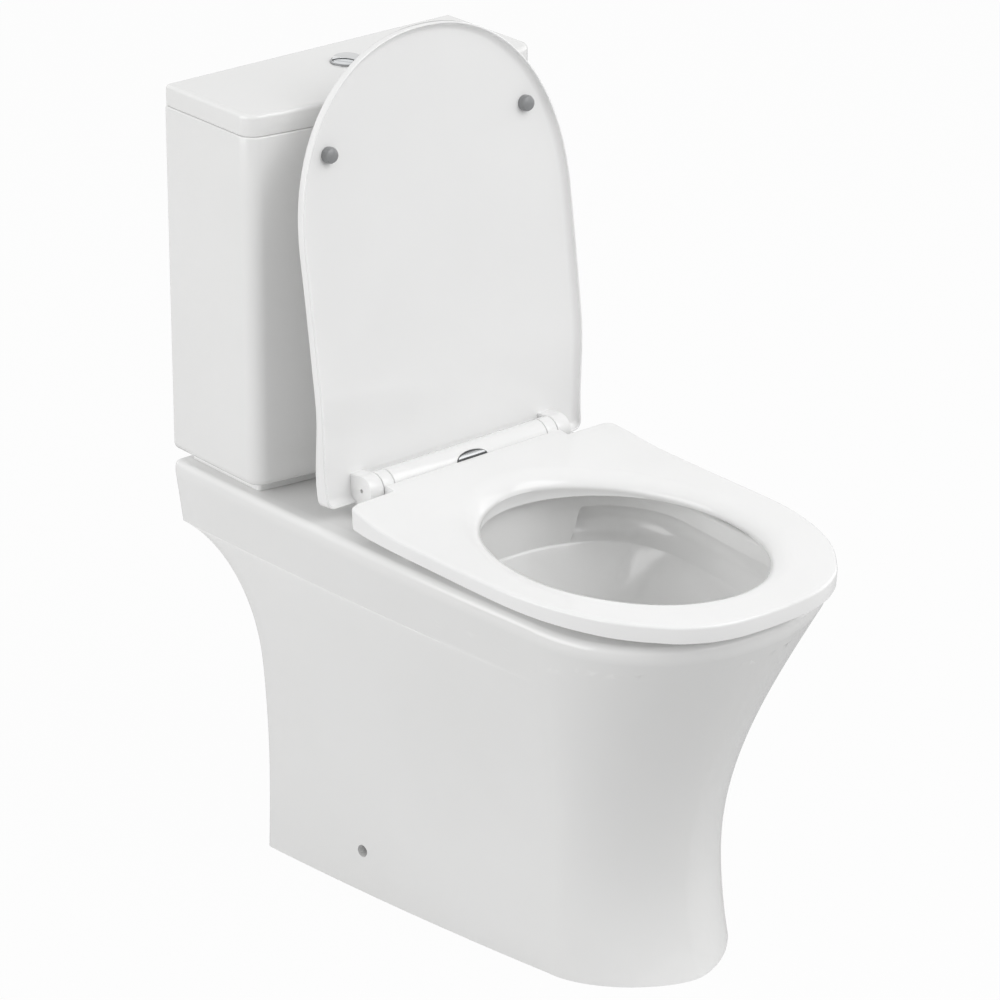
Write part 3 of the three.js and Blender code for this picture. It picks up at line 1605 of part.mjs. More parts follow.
toilet.add(piece("fill_valve_body", fillValveBody(), valvePlastic()));
toilet.add(piece("fill_valve_cap", fillValveCap(), bluePlastic()));
toilet.add(piece("fill_valve_float", fillValveFloat(), valvePlastic()));
toilet.add(piece("fill_valve_washer", fillValveWasher(), blackRubber()));
toilet.add(piece("fill_valve_nut", fillValveNut(), valvePlastic()));

toilet.add(piece("hinge_bar", hingeBar(), seatPlastic()));
toilet.add(piece("release_button", releaseTab(), chrome()));
toilet.add(piece("seat_ring", seatRing(), seatPlastic()));
for (const [name, at] of Object.entries(seatBumperPlaces)) {
  toilet.add(piece(name, seatBumper(at), seatPlastic()));
}

const cover = new THREE.Group();
cover.position.copy(place(0, hingePlace, hingeHeight));
cover.rotation.x = Math.PI / 2 - coverTilt * rad;
cover.add(piece("seat_lid", seatCover(), seatPlastic()));
cover.add(piece("lid_bumper_left", coverBumper(-1), greyRubber()));
cover.add(piece("lid_bumper_right", coverBumper(1), greyRubber()));
toilet.add(cover);

export default toilet;
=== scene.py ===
import json
import math

import bmesh
import bpy
from mathutils import Matrix, Vector


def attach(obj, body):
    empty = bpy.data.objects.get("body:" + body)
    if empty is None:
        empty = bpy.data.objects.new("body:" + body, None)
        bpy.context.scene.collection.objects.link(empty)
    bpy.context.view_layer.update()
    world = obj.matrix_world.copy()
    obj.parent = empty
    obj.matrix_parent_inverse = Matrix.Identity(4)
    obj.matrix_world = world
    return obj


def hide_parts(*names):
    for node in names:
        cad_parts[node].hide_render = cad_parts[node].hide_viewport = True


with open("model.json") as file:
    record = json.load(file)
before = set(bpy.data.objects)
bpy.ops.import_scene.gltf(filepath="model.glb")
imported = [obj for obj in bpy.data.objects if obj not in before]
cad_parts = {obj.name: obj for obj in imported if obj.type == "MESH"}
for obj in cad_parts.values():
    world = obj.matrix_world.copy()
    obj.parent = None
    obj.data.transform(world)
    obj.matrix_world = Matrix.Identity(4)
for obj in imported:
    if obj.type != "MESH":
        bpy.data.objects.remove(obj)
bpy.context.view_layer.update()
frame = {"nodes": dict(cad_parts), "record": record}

MM = 0.001
WALL_Y = 361.5
TAU = 2 * math.pi

# Camera, from the photograph's straight edges
CAMERA_PLACE = (-2.626034, -3.047816, 2.202751)
CAMERA_AZIMUTH = -40.255
CAMERA_ELEVATION = 23.654
CAMERA_ROLL = 0.19
CAMERA_LENS = 155.82

# Pan
RIM_HEIGHT = 420
DECK_REAR_HALF = 189.5
DECK_SHOULDER = 545
DECK_SHOULDER_HALF = 168
DECK_LENGTH = 706
FOOT_REAR = 115
FOOT_REAR_HALF = 160.5
FOOT_SHOULDER = 520
FOOT_SHOULDER_HALF = 108
NECK_LENGTH = 601
NECK_HEIGHT = 98
FLARE_TOP = 406
TOE_REACH = 22.5
TOE_SPREAD = 2.5
SIDE_BULGE = 5
DECK_CORNER = 7
RIM_EDGE = 8
COVE_BOTTOM = 215
PLATFORM_UNDERSIDE = 348
FOOT_POWER = 1.62
FRONT_POWER = 2.15
COVE_POWER = 2.25
TOE_POWER = 1.9
PAN_WALL = 11
DECK_THICKNESS = 14
HOLLOW_TOP = 345
PLATFORM_HOLLOW = 285
REAR_OPENING_HALF = 96
REAR_OPENING_HEIGHT = 336
SIDE_HOLE = (13.5, 261, 47)

# Bowl
BOWL_WALL = 10
RIM_WIDTH = 33
RIM_INNER_REAR = 316
BOWL_WAIST = 430
RIM_DEPTH = 22
CHANNEL_HEIGHT = 30
CHANNEL_REACH = 14
LEDGE_WIDTH = 12
LEDGE_BLEND = 0.4
LEDGE_HEIGHT = RIM_HEIGHT - RIM_DEPTH - CHANNEL_HEIGHT
RIM_INNER_EDGE = RIM_EDGE * 0.6
# How far the flush channel reaches beyond the rim's inner wall, and at what height
CHANNEL_PROFILE = [
    (-3, 400), (0, 399.2), (2.5, 400.4), (6.5, 401.2), (10.5, 399), (13, 394), (14, 387.5), (13.2, 381),
    (10.8, 374.5), (7, 368.5), (2.5, 363.2), (-2, 359), (-7, 355),
]
SUMP_DEPTH = 58
SUMP_HALF = 27
SUMP_REAR = 398
SUMP_FRONT = 466
BOWL_REAR_POWER = 2.3
BOWL_NARROWING = 0.85
HOOD_HALF = 84
HOOD_WALL = 9
HOOD_DEPTH = 60
HOOD_TOP = RIM_HEIGHT - RIM_DEPTH + 6
HOOD_LOW = LEDGE_HEIGHT - 14
# The hood's side edge: how far it stands beyond HOOD_HALF, and at what height
HOOD_SIDE = [
    (8, HOOD_TOP), (5, 399), (2.5, 395), (1, 389), (-0.5, 382), (-2, 375), (-4.5, 367), (-7.5, HOOD_LOW),
]

# Trapway and water way
TRAP_BORE = 78
TRAP_WALL = 10
TRAP_START = 432
TRAP_END = 18
TRAP_DIP = (385, 97)
TRAP_WEIR = (245, 226)
OUTLET_HEIGHT = 180
VALVE_PLACE = 75
FILL_PLACE = (140, 70)
COUPLING_HALF = 82
COUPLING_HOLE = 11
SEAT_BOLT_HOLE = 14
FILL_HOLE = 22
FILL_RECESS = 42
VALVE_HOLE = 63
VALVE_RECESS = 92
DUCT_HALF = 36
INLET_SOCKET = 46
INLET_SOCKET_DEPTH = 18
INLET_WALL = 10

# Cistern and lid
TANK_HALF = 187
TANK_FLARE = 1
TANK_CORNER_DEPTH = 143
TANK_BOW = 15
TANK_CORNER = 20
TANK_REAR_CORNER = 3
TANK_BOTTOM = 430
TANK_TOP = 808
TANK_WALL = 9
TANK_FLOOR = 15
TANK_EDGE = 9
TANK_FOOT_INSET = 15
TANK_SCREW = (6.5, 110, 745)
LID_HEIGHT = 23.6
LID_EDGE = 5
LID_PLATE = 14
LID_LIP_DEPTH = 10
LID_LIP_INSET = 11.5
LID_LIP_WALL = 6
BUTTON_PLACE = 62
BUTTON_HOLE = 33
GAP = 0.3

# Hinge, seat and cover
HINGE_PLACE = 249
HINGE_HEIGHT = 450
HINGE_RADIUS = 15.7
BAR_HALF = 102
EAR_HALF = 16
EAR_DEPTH_HALF = 13
EAR_LOW = 427
SEAT_KNUCKLE = (102.7, 116.2)
LID_KNUCKLE = (116.9, 133.9)
SEAT_BOLT_HALF = 77.5
TAB_WIDTH = 40
TAB_LOW = 20
TAB_HIGH = 51
TAB_MIDDLE = (TAB_LOW + TAB_HIGH) / 2
TAB_RISE = HINGE_RADIUS * math.radians(TAB_HIGH - TAB_LOW)
TAB_DEPTH = 2.3
TAB_TRAVEL = 1.4
SEAT_REACH = 474
SEAT_TOP = 447
SEAT_UNDERSIDE = 431
SEAT_REAR_RISE = 10.5
SEAT_REAR_RISE_LENGTH = 112
SEAT_FRONT_RISE = 3.2
SEAT_FRONT_RISE_START = 170
SEAT_FRONT_RISE_LENGTH = 200
SEAT_HALF = 179.5
SEAT_REAR_HALF = 175.5
SEAT_REAR_GAP = 30
SEAT_CORNER = 10
SEAT_OUTER_ROUND = 3.2
SEAT_INNER_ROUND = 24
SEAT_LIP_LOW = 421
SEAT_LIP_END = 0.5
TONGUE_GAP = 1
HOLE_REAR = 331
HOLE_FRONT = 662
HOLE_HALF = 125
HOLE_WAIST = 505
COVER_TILT = 7.6
COVER_LENGTH = 455
COVER_HALF = 174.5
COVER_FOOT_HALF = 171
COVER_FOOT_BOW = 0.6
COVER_BELOW = 14
COVER_WAIST = 140
COVER_SHOULDER = 250
COVER_CORNER = 11
COVER_POWER = 2.15
COVER_DEPTH = 13
COVER_FOOT_DEPTH = 16
COVER_SIDE = 8.5
COVER_FOOT_SIDE = 15
COVER_THICK_LENGTH = 95
COVER_RECESS = 7
COVER_RIM = 2.2
COVER_COVE = 7
COVER_SLOPE = 22
COVER_RIM_GAP_HALF = 134
PEEPHOLE = 4.6

BOX_FACES = [(0, 1, 3, 2), (4, 6, 7, 5), (0, 4, 5, 1), (2, 3, 7, 6), (0, 2, 6, 4), (1, 5, 7, 3)]


# Small mesh helpers
def place(x, from_wall, z):
    return (x, WALL_Y - from_wall, z)


def lerp(a, b, t):
    return a + (b - a) * t


def smooth(t):
    t = min(1.0, max(0.0, t))
    return t * t * (3 - 2 * t)


def mesh_object(name, points, faces):
    mesh = bpy.data.meshes.new(name)
    mesh.from_pydata([[c * MM for c in p] for p in points], [], faces)
    bm = bmesh.new()
    bm.from_mesh(mesh)
    bmesh.ops.remove_doubles(bm, verts=bm.verts, dist=1e-6)
    bmesh.ops.recalc_face_normals(bm, faces=bm.faces)
    bm.to_mesh(mesh)
    bm.free()
    obj = bpy.data.objects.new(name, mesh)
    bpy.context.scene.collection.objects.link(obj)
    return obj


def strips(start, count):
    """Quads between the left and right points of a symmetrical ring."""
    faces = []
    for i in range(count // 2):
        across = (count - i) % count
        corner = [start + i, start + i + 1, start + count - i - 1, start + across]
        face = list(dict.fromkeys(corner))
        if len(face) > 2:
            faces.append(face)
    return faces


def loft(name, rings, caps="flat"):
    count = len(rings[0])
    points = [p for ring in rings for p in ring]
    faces = []
    for r in range(len(rings) - 1):
        for i in range(count):
            a, b = r * count + i, r * count + (i + 1) % count
            faces.append((a, b, b + count, a + count))
    last = (len(rings) - 1) * count
    if caps == "flat":
        faces += [list(range(count)), list(range(last, last + count))]
    elif caps == "strips":
        faces += strips(0, count) + strips(last, count)
    return mesh_object(name, points, faces)


def closed_loop(name, sections):
    count, total = len(sections[0]), len(sections)
    points = [p for section in sections for p in section]
    faces = []
    for s in range(total):
        for i in range(count):
            j = (i + 1) % count
            n = (s + 1) % total
            faces.append((s * count + i, s * count + j, n * count + j, n * count + i))
    return mesh_object(name, points, faces)


def lathe(name, profile, sides=64):
    """Body turned about Z from a profile of (radius, height) that starts and ends on the axis or closes."""
    turn = [TAU * i / sides for i in range(sides)]
    rings = []
    for radius, height in profile:
        radius = max(radius, 1e-4)
        rings.append([(radius * math.cos(a), radius * math.sin(a), height) for a in turn])
    return loft(name, rings)


def rounded_profile(radius, low, high, edge, steps=5):
    """Profile of a plain cylinder with rounded edges."""
    points = [(0, low)]
    for i in range(steps + 1):
        a = math.pi / 2 * i / steps
        points.append((radius - edge + edge * math.sin(a), low + edge - edge * math.cos(a)))
    for i in range(steps + 1):
        a = math.pi / 2 * i / steps
        points.append((radius - edge + edge * math.cos(a), high - edge + edge * math.sin(a)))
    return points + [(0, high)]


def drum(name, size, low, high, x, from_wall, sides=48):
    body = lathe(name, [(size / 2, low), (size / 2, high)], sides)
    move(body, Matrix.Translation(Vector(place(x, from_wall, 0)) * MM))
    return body


def block(name, x0, x1, near, far, z0, z1, edge=0.0):
    points = [place(x, w, z) for x in (x0, x1) for w in (near, far) for z in (z0, z1)]
    body = mesh_object(name, points, BOX_FACES)
    if edge:
        bevel(body, edge)
    return body


def move(obj, matrix):
    obj.data.transform(matrix)
    return obj


def apply_modifiers(obj):
    bpy.context.view_layer.update()
    done = obj.evaluated_get(bpy.context.evaluated_depsgraph_get())
    mesh = bpy.data.meshes.new_from_object(done)
    obj.modifiers.clear()
    obj.data = mesh
    return obj


def bevel(obj, width, steps=3, angle=40):
    mod = obj.modifiers.new("edge", "BEVEL")
    mod.width = width * MM
    mod.segments = steps
    mod.limit_method = "ANGLE"
    mod.angle_limit = math.radians(angle)
    return apply_modifiers(obj)


def combine(obj, other, how):
    """Adds, cuts or keeps what is common to two bodies; the second one is used up."""
    mod = obj.modifiers.new("combine", "BOOLEAN")
    mod.operation = how
    mod.solver = "MANIFOLD"
    mod.object = other
    apply_modifiers(obj)
    bpy.data.objects.remove(other)
    return obj


def cut(obj, *others):
    for other in others:
        combine(obj, other, "DIFFERENCE")
    return obj


def add(obj, *others):
    for other in others:
        combine(obj, other, "UNION")
    return obj


def finish_surface(obj, material, angle=32):
    obj.data.shade_smooth()
    obj.data.set_sharp_from_angle(angle=math.radians(angle))
    obj.data.materials.clear()
    obj.data.materials.append(material)
    return obj


def rounded_quarter(power, steps):
    """Shares of the half axes along a quarter of a superellipse, from its side to its end."""
    points = []
    for i in range(1, steps + 1):
        a = (i / steps) * (math.pi / 2)
        points.append((max(0.0, math.cos(a)) ** (2 / power), math.sin(a) ** (2 / power)))
    points[-1] = (0.0, 1.0)
    return points


def whole_ring(half, height):
    right = [place(x, w, height) for x, w in half]
    left = [place(-x, w, height) for x, w in half[1:-1]]
    return right + left[::-1]


def spline_value(a, b, c, d, t):
    return 0.5 * (2 * b + (c - a) * t + (2 * a - 5 * b + 4 * c - d) * t * t + (3 * b - a - 3 * c + d) * t**3)


def spline(points, steps):
    """Points on a smooth curve through the given ones."""
    out = []
    for i in range(len(points) - 1):
        p0 = points[max(i - 1, 0)]
        p1, p2 = points[i], points[i + 1]
        p3 = points[min(i + 2, len(points) - 1)]
        for s in range(steps):
            t = s / steps
            out.append(tuple(spline_value(a, b, c, d, t) for a, b, c, d in zip(p0, p1, p2, p3)))
    return out + [tuple(points[-1])]


# Pan
def flare_at(z):
    up = min(1.0, max(0.0, (z - NECK_HEIGHT) / (FLARE_TOP - NECK_HEIGHT)))
    return up * up * (3 - up) / 2


def toe_at(z):
    return 0.0 if z >= NECK_HEIGHT else ((NECK_HEIGHT - z) / NECK_HEIGHT) ** TOE_POWER


def rear_at(z):
    if z <= COVE_BOTTOM:
        return FOOT_REAR
    if z >= PLATFORM_UNDERSIDE:
        return 0.0
    up = (z - COVE_BOTTOM) / (PLATFORM_UNDERSIDE - COVE_BOTTOM)
    return FOOT_REAR * (1 - up**COVE_POWER) ** (1 / COVE_POWER)


def pan_half(z, inset, rear=None, corner_steps=6, side_steps=26, front_steps=26):
    rear = rear_at(z) if rear is None else rear
    flare, toe = flare_at(z), toe_at(z)
    rear_half = lerp(FOOT_REAR_HALF, DECK_REAR_HALF, flare) + TOE_SPREAD * toe - inset
    shoulder_half = lerp(FOOT_SHOULDER_HALF, DECK_SHOULDER_HALF, flare) + TOE_SPREAD * toe - inset
    shoulder = lerp(FOOT_SHOULDER, DECK_SHOULDER, flare)
    tip = lerp(NECK_LENGTH, DECK_LENGTH, flare) + TOE_REACH * toe - inset
    back = rear + inset
    corner = max(DECK_CORNER - inset, DECK_CORNER / 4)
    half = [(0, back), ((rear_half - corner) / 2, back)]
    for i in range(corner_steps + 1):
        a = (i / corner_steps) * (math.pi / 2)
        half.append((rear_half - corner + corner * math.sin(a), back + corner - corner * math.cos(a)))
    for i in range(1, side_steps + 1):
        t = i / side_steps
        bulge = SIDE_BULGE * 4 * t * (1 - t)
        half.append((lerp(rear_half, shoulder_half, t) + bulge, lerp(back + corner, shoulder, t)))
    for across, along in rounded_quarter(lerp(FOOT_POWER, FRONT_POWER, flare), front_steps):
        half.append((shoulder_half * across, shoulder + (tip - shoulder) * along))
    return half


def pan_outside():
    levels = [1.2 * k for k in range(2)] + [6 * k for k in range(1, 36)]
    levels += [lerp(COVE_BOTTOM, PLATFORM_UNDERSIDE, math.sin(math.pi / 2 * k / 24)) for k in range(25)]
    levels += [352, 360, 370, 380, 390, 400, 406, 412]
    rings = [whole_ring(pan_half(z, 0), z) for z in levels]
    side_top = RIM_HEIGHT - RIM_EDGE
    for k in range(1, 9):
        a = math.pi / 2 * k / 8
        z = side_top + RIM_EDGE * math.sin(a)
        rings.append(whole_ring(pan_half(z, RIM_EDGE * (1 - math.cos(a))), z))
    return loft("pan_body", rings)


def hollow_ring(z, at=None):
    at = z if at is None else at
    return whole_ring(pan_half(at, PAN_WALL, rear_at(at - PAN_WALL), 3, 8, 12), z)


def pan_hollow():
    levels = [COVE_BOTTOM * s for s in (0.1, 0.2, 0.35, 0.5, 0.7)]
    levels += [lerp(COVE_BOTTOM, HOLLOW_TOP, k / 12) for k in range(13)]
    under = loft("under", [hollow_ring(-1, 0)] + [hollow_ring(z) for z in levels])
    high = [HOLLOW_TOP - 1, PLATFORM_UNDERSIDE + PAN_WALL, RIM_HEIGHT - DECK_THICKNESS]
    platform = loft("platform", [hollow_ring(z) for z in high])
    widest = DECK_REAR_HALF + 1
    combine(platform, block("behind", -widest, widest, 0, PLATFORM_HOLLOW, 0, RIM_HEIGHT), "INTERSECT")
    side = REAR_OPENING_HALF
    window = block("window", -side, side, -1, FOOT_REAR + 2 * PAN_WALL, -1, REAR_OPENING_HEIGHT)
    return add(under, platform, window)


def bowl_half(o, rear_steps=24, side_steps=6, front_steps=26):
    points = []
    for across, along in rounded_quarter(BOWL_REAR_POWER, rear_steps):
        points.insert(0, (o["half"] * across, o["waist"] - (o["waist"] - o["rear"]) * along))
    for i in range(side_steps + 1):
        t = i / side_steps
        points.append((lerp(o["half"], o["shoulder_half"], t), lerp(o["waist"], o["shoulder"], t)))
    for across, along in rounded_quarter(FRONT_POWER, front_steps):
        points.append((o["shoulder_half"] * across, o["shoulder"] + (o["front"] - o["shoulder"]) * along))
    return points


def rim_outline(grow):
    share = BOWL_WAIST / DECK_SHOULDER
    return {
        "rear": RIM_INNER_REAR - grow,
        "waist": BOWL_WAIST,
        "half": lerp(DECK_REAR_HALF, DECK_SHOULDER_HALF, share) - RIM_WIDTH + SIDE_BULGE + grow,
        "shoulder": DECK_SHOULDER,
        "shoulder_half": DECK_SHOULDER_HALF - RIM_WIDTH + grow,
        "front": DECK_LENGTH - RIM_WIDTH + grow,
    }


def sump_outline(grow):
    return {
        "rear": SUMP_REAR - grow,
        "waist": lerp(SUMP_REAR, SUMP_FRONT, 1 / 3),
        "half": SUMP_HALF + grow,
        "shoulder": lerp(SUMP_REAR, SUMP_FRONT, 2 / 3),
        "shoulder_half": SUMP_HALF + grow,
        "front": SUMP_FRONT + grow,
    }


def blend_outline(a, b, t):
    return {key: lerp(a[key], b[key], t) for key in a}


def bowl_rings(grow, top, bottom, shares):
    lower = sump_outline(grow)
    rings = []
    for share in shares:
        upper = rim_outline(grow - LEDGE_WIDTH * smooth(share / LEDGE_BLEND))
        outline = blend_outline(upper, lower, share**BOWL_NARROWING)
        rings.append(whole_ring(bowl_half(outline), lerp(top, bottom, share)))
    return rings


def bowl_shell():
    shares = [k / 12 for k in range(13)]
    shell = loft("shell", bowl_rings(BOWL_WALL * 1.15, LEDGE_HEIGHT, SUMP_DEPTH - BOWL_WALL, shares))
    collar_outline = rim_outline(CHANNEL_REACH + BOWL_WALL)
    collar = [whole_ring(bowl_half(collar_outline), z) for z in (LEDGE_HEIGHT - 1, RIM_HEIGHT - RIM_EDGE)]
    return add(shell, loft("collar", collar))


def outline_column(name, outline, low, high):
    return loft(name, [whole_ring(bowl_half(outline), z) for z in (low, high)])


def mouth_room():
    """Room inside the rim, with its upper edge rounded over."""
    lip = RIM_INNER_EDGE
    rings = [whole_ring(bowl_half(rim_outline(0)), z) for z in (LEDGE_HEIGHT, RIM_HEIGHT - lip)]
    for k in range(1, 7):
        a = math.pi / 2 * k / 6
        z = RIM_HEIGHT - lip + lip * math.sin(a)
        rings.append(whole_ring(bowl_half(rim_outline(lip * (1 - math.cos(a)))), z))
    rings.append(whole_ring(bowl_half(rim_outline(lip)), RIM_HEIGHT + 1))
    return loft("mouth", rings)


def channel_room():
    """The open flush channel under the rim wall: an undercut that runs out into the bowl."""
    flare = flare_at(LEDGE_HEIGHT)
    limit_half = lerp(FOOT_SHOULDER_HALF, DECK_SHOULDER_HALF, flare) - BOWL_WALL
    limit_front = lerp(NECK_LENGTH, DECK_LENGTH, flare) - BOWL_WALL
    rings = []
    for grow, z in spline(CHANNEL_PROFILE, 3):
        outline = rim_outline(grow)
        outline["shoulder_half"] = min(outline["shoulder_half"], limit_half)
        outline["front"] = min(outline["front"], limit_front)
        rings.insert(0, whole_ring(bowl_half(outline), z))
    return loft("channel", rings)


def hood_room():
    """What the hood takes from the channel: its side edges lean back in a soft curve."""
    edge = spline([(HOOD_HALF + beyond, z) for beyond, z in HOOD_SIDE], 4)
    outline = edge + [(-x, z) for x, z in reversed(edge)]
    near, far = RIM_INNER_REAR - 40, RIM_INNER_REAR + HOOD_DEPTH + 40
    return loft("hood", [[place(x, w, z) for x, z in outline] for w in (near, far)])


def bowl_room():
    room = mouth_room()
    channel = channel_room()
    hood = outline_column("hood_wall", rim_outline(HOOD_WALL), LEDGE_HEIGHT - 12, RIM_HEIGHT - RIM_DEPTH + 8)
    combine(hood, hood_room(), "INTERSECT")
    cut(hood, outline_column("inner", rim_outline(0), 0, RIM_HEIGHT))
    cut(channel, hood)
    below = loft("below", bowl_rings(0, LEDGE_HEIGHT - 6, SUMP_DEPTH, [(k / 30) ** 1.25 for k in range(31)]))
    return add(room, channel, below)


def trap_tube(name, size, start, end, per_step=4, sides=40):
    dip, weir = TRAP_DIP, TRAP_WEIR
    path = [(start, dip[1]), dip]
    path += [(lerp(dip[0], weir[0], a), lerp(dip[1], weir[1], b)) for a, b in ((0.42, 0.38), (0.68, 0.82))]
    path.append(weir)
    path.append((lerp(weir[0], FOOT_REAR, 0.4), lerp(weir[1], OUTLET_HEIGHT, 0.45)))
    path += [(lerp(weir[0], FOOT_REAR, 0.75), OUTLET_HEIGHT), (end, OUTLET_HEIGHT)]
    line = spline(path, per_step)
    rings = []
    for i, (w, z) in enumerate(line):
        before, after = line[max(i - 1, 0)], line[min(i + 1, len(line) - 1)]
        if i in (0, len(line) - 1):
            before, after = (w + 1, z), (w - 1, z)
        along = Vector((after[0] - before[0], after[1] - before[1])).normalized()
        ring = []
        for k in range(sides):
            a = TAU * k / sides
            off = size / 2 * math.sin(a)
            ring.append(place(size / 2 * math.cos(a), w - along.y * off, z + along.x * off))
        rings.append(ring)
    return loft(name, rings)


def water_way(low, half, radius, high, forward):
    duct = block("duct", -half, half, VALVE_PLACE, forward, low, high)
    return add(duct, drum("well", radius * 2, low, high, 0, VALVE_PLACE, 64))


def deck_holes():
    low, high = RIM_HEIGHT - DECK_THICKNESS - 1, RIM_HEIGHT + 1
    holes = [drum("hole", FILL_RECESS, low, high, *FILL_PLACE)]
    for side in (-1, 1):
        holes.append(drum("hole", COUPLING_HOLE, low, high, side * COUPLING_HALF, VALVE_PLACE))
        holes.append(drum("hole", SEAT_BOLT_HOLE, low, high, side * SEAT_BOLT_HALF, HINGE_PLACE))
    return holes


def side_holes():
    size, from_wall, z = SIDE_HOLE
    body = lathe("side_hole", [(size / 2, -DECK_REAR_HALF), (size / 2, DECK_REAR_HALF)], 40)
    move(body, Matrix.Rotation(math.pi / 2, 4, "Y"))
    return move(body, Matrix.Translation(Vector(place(0, from_wall, z)) * MM))


def pan():
    body = cut(pan_outside(), pan_hollow(), side_holes())
    floor = LEDGE_HEIGHT + CHANNEL_HEIGHT * 0.1
    shell = combine(bowl_shell(), pan_outside(), "INTERSECT")
    half, radius = DUCT_HALF + INLET_WALL, INLET_SOCKET + INLET_WALL
    case = water_way(floor - INLET_WALL, half, radius, RIM_HEIGHT - RIM_EDGE, RIM_INNER_REAR)
    combine(case, pan_outside(), "INTERSECT")
    add(body, shell, case, trap_tube("trap", TRAP_BORE + 2 * TRAP_WALL, TRAP_START, TRAP_END))
    top = RIM_HEIGHT - RIM_DEPTH - 1
    room = water_way(floor, DUCT_HALF, DUCT_HALF, top, RIM_INNER_REAR - HOOD_WALL * 1.2)
    socket_low = RIM_HEIGHT - INLET_SOCKET_DEPTH
    socket = drum("socket", 2 * INLET_SOCKET, socket_low, RIM_HEIGHT + 1, 0, VALVE_PLACE, 64)
    throat = drum("throat", 2 * DUCT_HALF, floor, RIM_HEIGHT, 0, VALVE_PLACE, 64)
    cut(body, bowl_room(), room, throat, socket, trap_tube("bore", TRAP_BORE, TRAP_START, TRAP_END - 1))
    cut(body, *deck_holes())
    body.name = "pan_glazed"
    return body


# Cistern and its lid
def tank_half(inset, flare, corner_steps=14, front_steps=24):
    half = TANK_HALF + flare
    middle = half - TANK_CORNER
    start = math.atan(TANK_BOW * 2 / middle)
    front_x = middle + TANK_CORNER * math.sin(start)
    corner_y = TANK_CORNER_DEPTH - TANK_CORNER * math.cos(start)
    turn = max(TANK_CORNER - inset, TANK_CORNER / 5)
    rear = max(TANK_REAR_CORNER - inset, TANK_REAR_CORNER / 5)
    points = [(0, inset)]
    for k in range(5):
        a = math.pi / 2 * k / 4
        points.append((half - inset - rear + rear * math.sin(a), inset + rear - rear * math.cos(a)))
    reach = TANK_CORNER - inset - turn
    for i in range(corner_steps + 1):
        a = lerp(math.pi / 2, start, i / corner_steps)
        points.append((middle + reach + turn * math.sin(a), corner_y + reach + turn * math.cos(a)))
    join_x, join_y = points[-1]
    for i in range(1, front_steps + 1):
        share = 1 - i / front_steps
        points.append((join_x * share, join_y + TANK_BOW * (join_x / front_x) * (1 - share * share)))
    return points


def tank_ring(inset, z):
    flare = TANK_FLARE * (TANK_TOP - z) / (TANK_TOP - TANK_BOTTOM)
    return whole_ring(tank_half(inset, flare), z)


def edge_rings(edge, inset, level, up, steps=7):
    """Rings that round a tank edge over: from the side onto a flat top (up 1) or bottom (up -1)."""
    rings = []
    for k in range(steps + 1):
        a = math.pi / 2 * k / steps
        rings.append(tank_ring(inset + edge * (1 - math.cos(a)), level - up * edge * (1 - math.sin(a))))
    return rings


def cistern():
    bottom = edge_rings(TANK_EDGE, 0, TANK_BOTTOM, -1)[::-1]
    middle = [tank_ring(0, lerp(TANK_BOTTOM, TANK_TOP, k / 6)) for k in range(1, 6)]
    body = loft("tank", bottom + middle + edge_rings(1.6, 0, TANK_TOP, 1, 4))
    foot = [tank_ring(TANK_FOOT_INSET, z) for z in (RIM_HEIGHT + GAP, TANK_BOTTOM + TANK_EDGE)]
    add(body, loft("foot", foot))
    floor = TANK_BOTTOM + TANK_FLOOR
    steps = [(TANK_WALL * 2, floor), (TANK_WALL, floor + TANK_WALL), (TANK_WALL, TANK_TOP + 1)]
    room = [tank_ring(inset, z) for inset, z in steps]
    low, high = RIM_HEIGHT - 1, floor + 1
    holes = [drum("hole", VALVE_HOLE, low, high, 0, VALVE_PLACE)]
    holes.append(drum("hole", VALVE_RECESS, low, TANK_BOTTOM, 0, VALVE_PLACE))
    holes.append(drum("hole", FILL_HOLE, low, high, *FILL_PLACE))
    holes.append(drum("hole", FILL_RECESS, low, TANK_BOTTOM, *FILL_PLACE))
    size, side, z = TANK_SCREW
    for sign in (-1, 1):
        holes.append(drum("hole", COUPLING_HOLE, low, high, sign * COUPLING_HALF, VALVE_PLACE))
        screw = lathe("screw", [(size / 2, -TANK_WALL * 1.5), (size / 2, TANK_WALL * 1.5)], 24)
        move(screw, Matrix.Rotation(math.pi / 2, 4, "X"))
        holes.append(move(screw, Matrix.Translation(Vector((sign * side, WALL_Y, z)) * MM)))
    cut(body, loft("room", room), *holes)
    body.name = "cistern_glazed"
    return body


def cistern_lid():
    low, high = TANK_TOP + GAP, TANK_TOP + LID_HEIGHT
    slab = edge_rings(1.4, 1, low, -1, 4)[::-1] + edge_rings(LID_EDGE, 1, high, 1, 8)
    body = loft("slab", slab)
    lip = [tank_ring(LID_LIP_INSET, z) for z in (low - LID_LIP_DEPTH, low + 1)]
    add(body, loft("lip", lip))
    inside = LID_LIP_INSET + LID_LIP_WALL
    room = [tank_ring(inside, z) for z in (low - LID_LIP_DEPTH - 1, high - LID_PLATE)]
    cut(body, loft("room", room), drum("hole", BUTTON_HOLE, low, high + 1, 0, BUTTON_PLACE, 64))
    body.name = "cistern_lid_glazed"
    return body


# Seat ring
def wave_at(from_hinge):
    rear = SEAT_REAR_RISE * (1 - smooth(from_hinge / SEAT_REAR_RISE_LENGTH))
    return rear + SEAT_FRONT_RISE * smooth((from_hinge - SEAT_FRONT_RISE_START) / SEAT_FRONT_RISE_LENGTH)


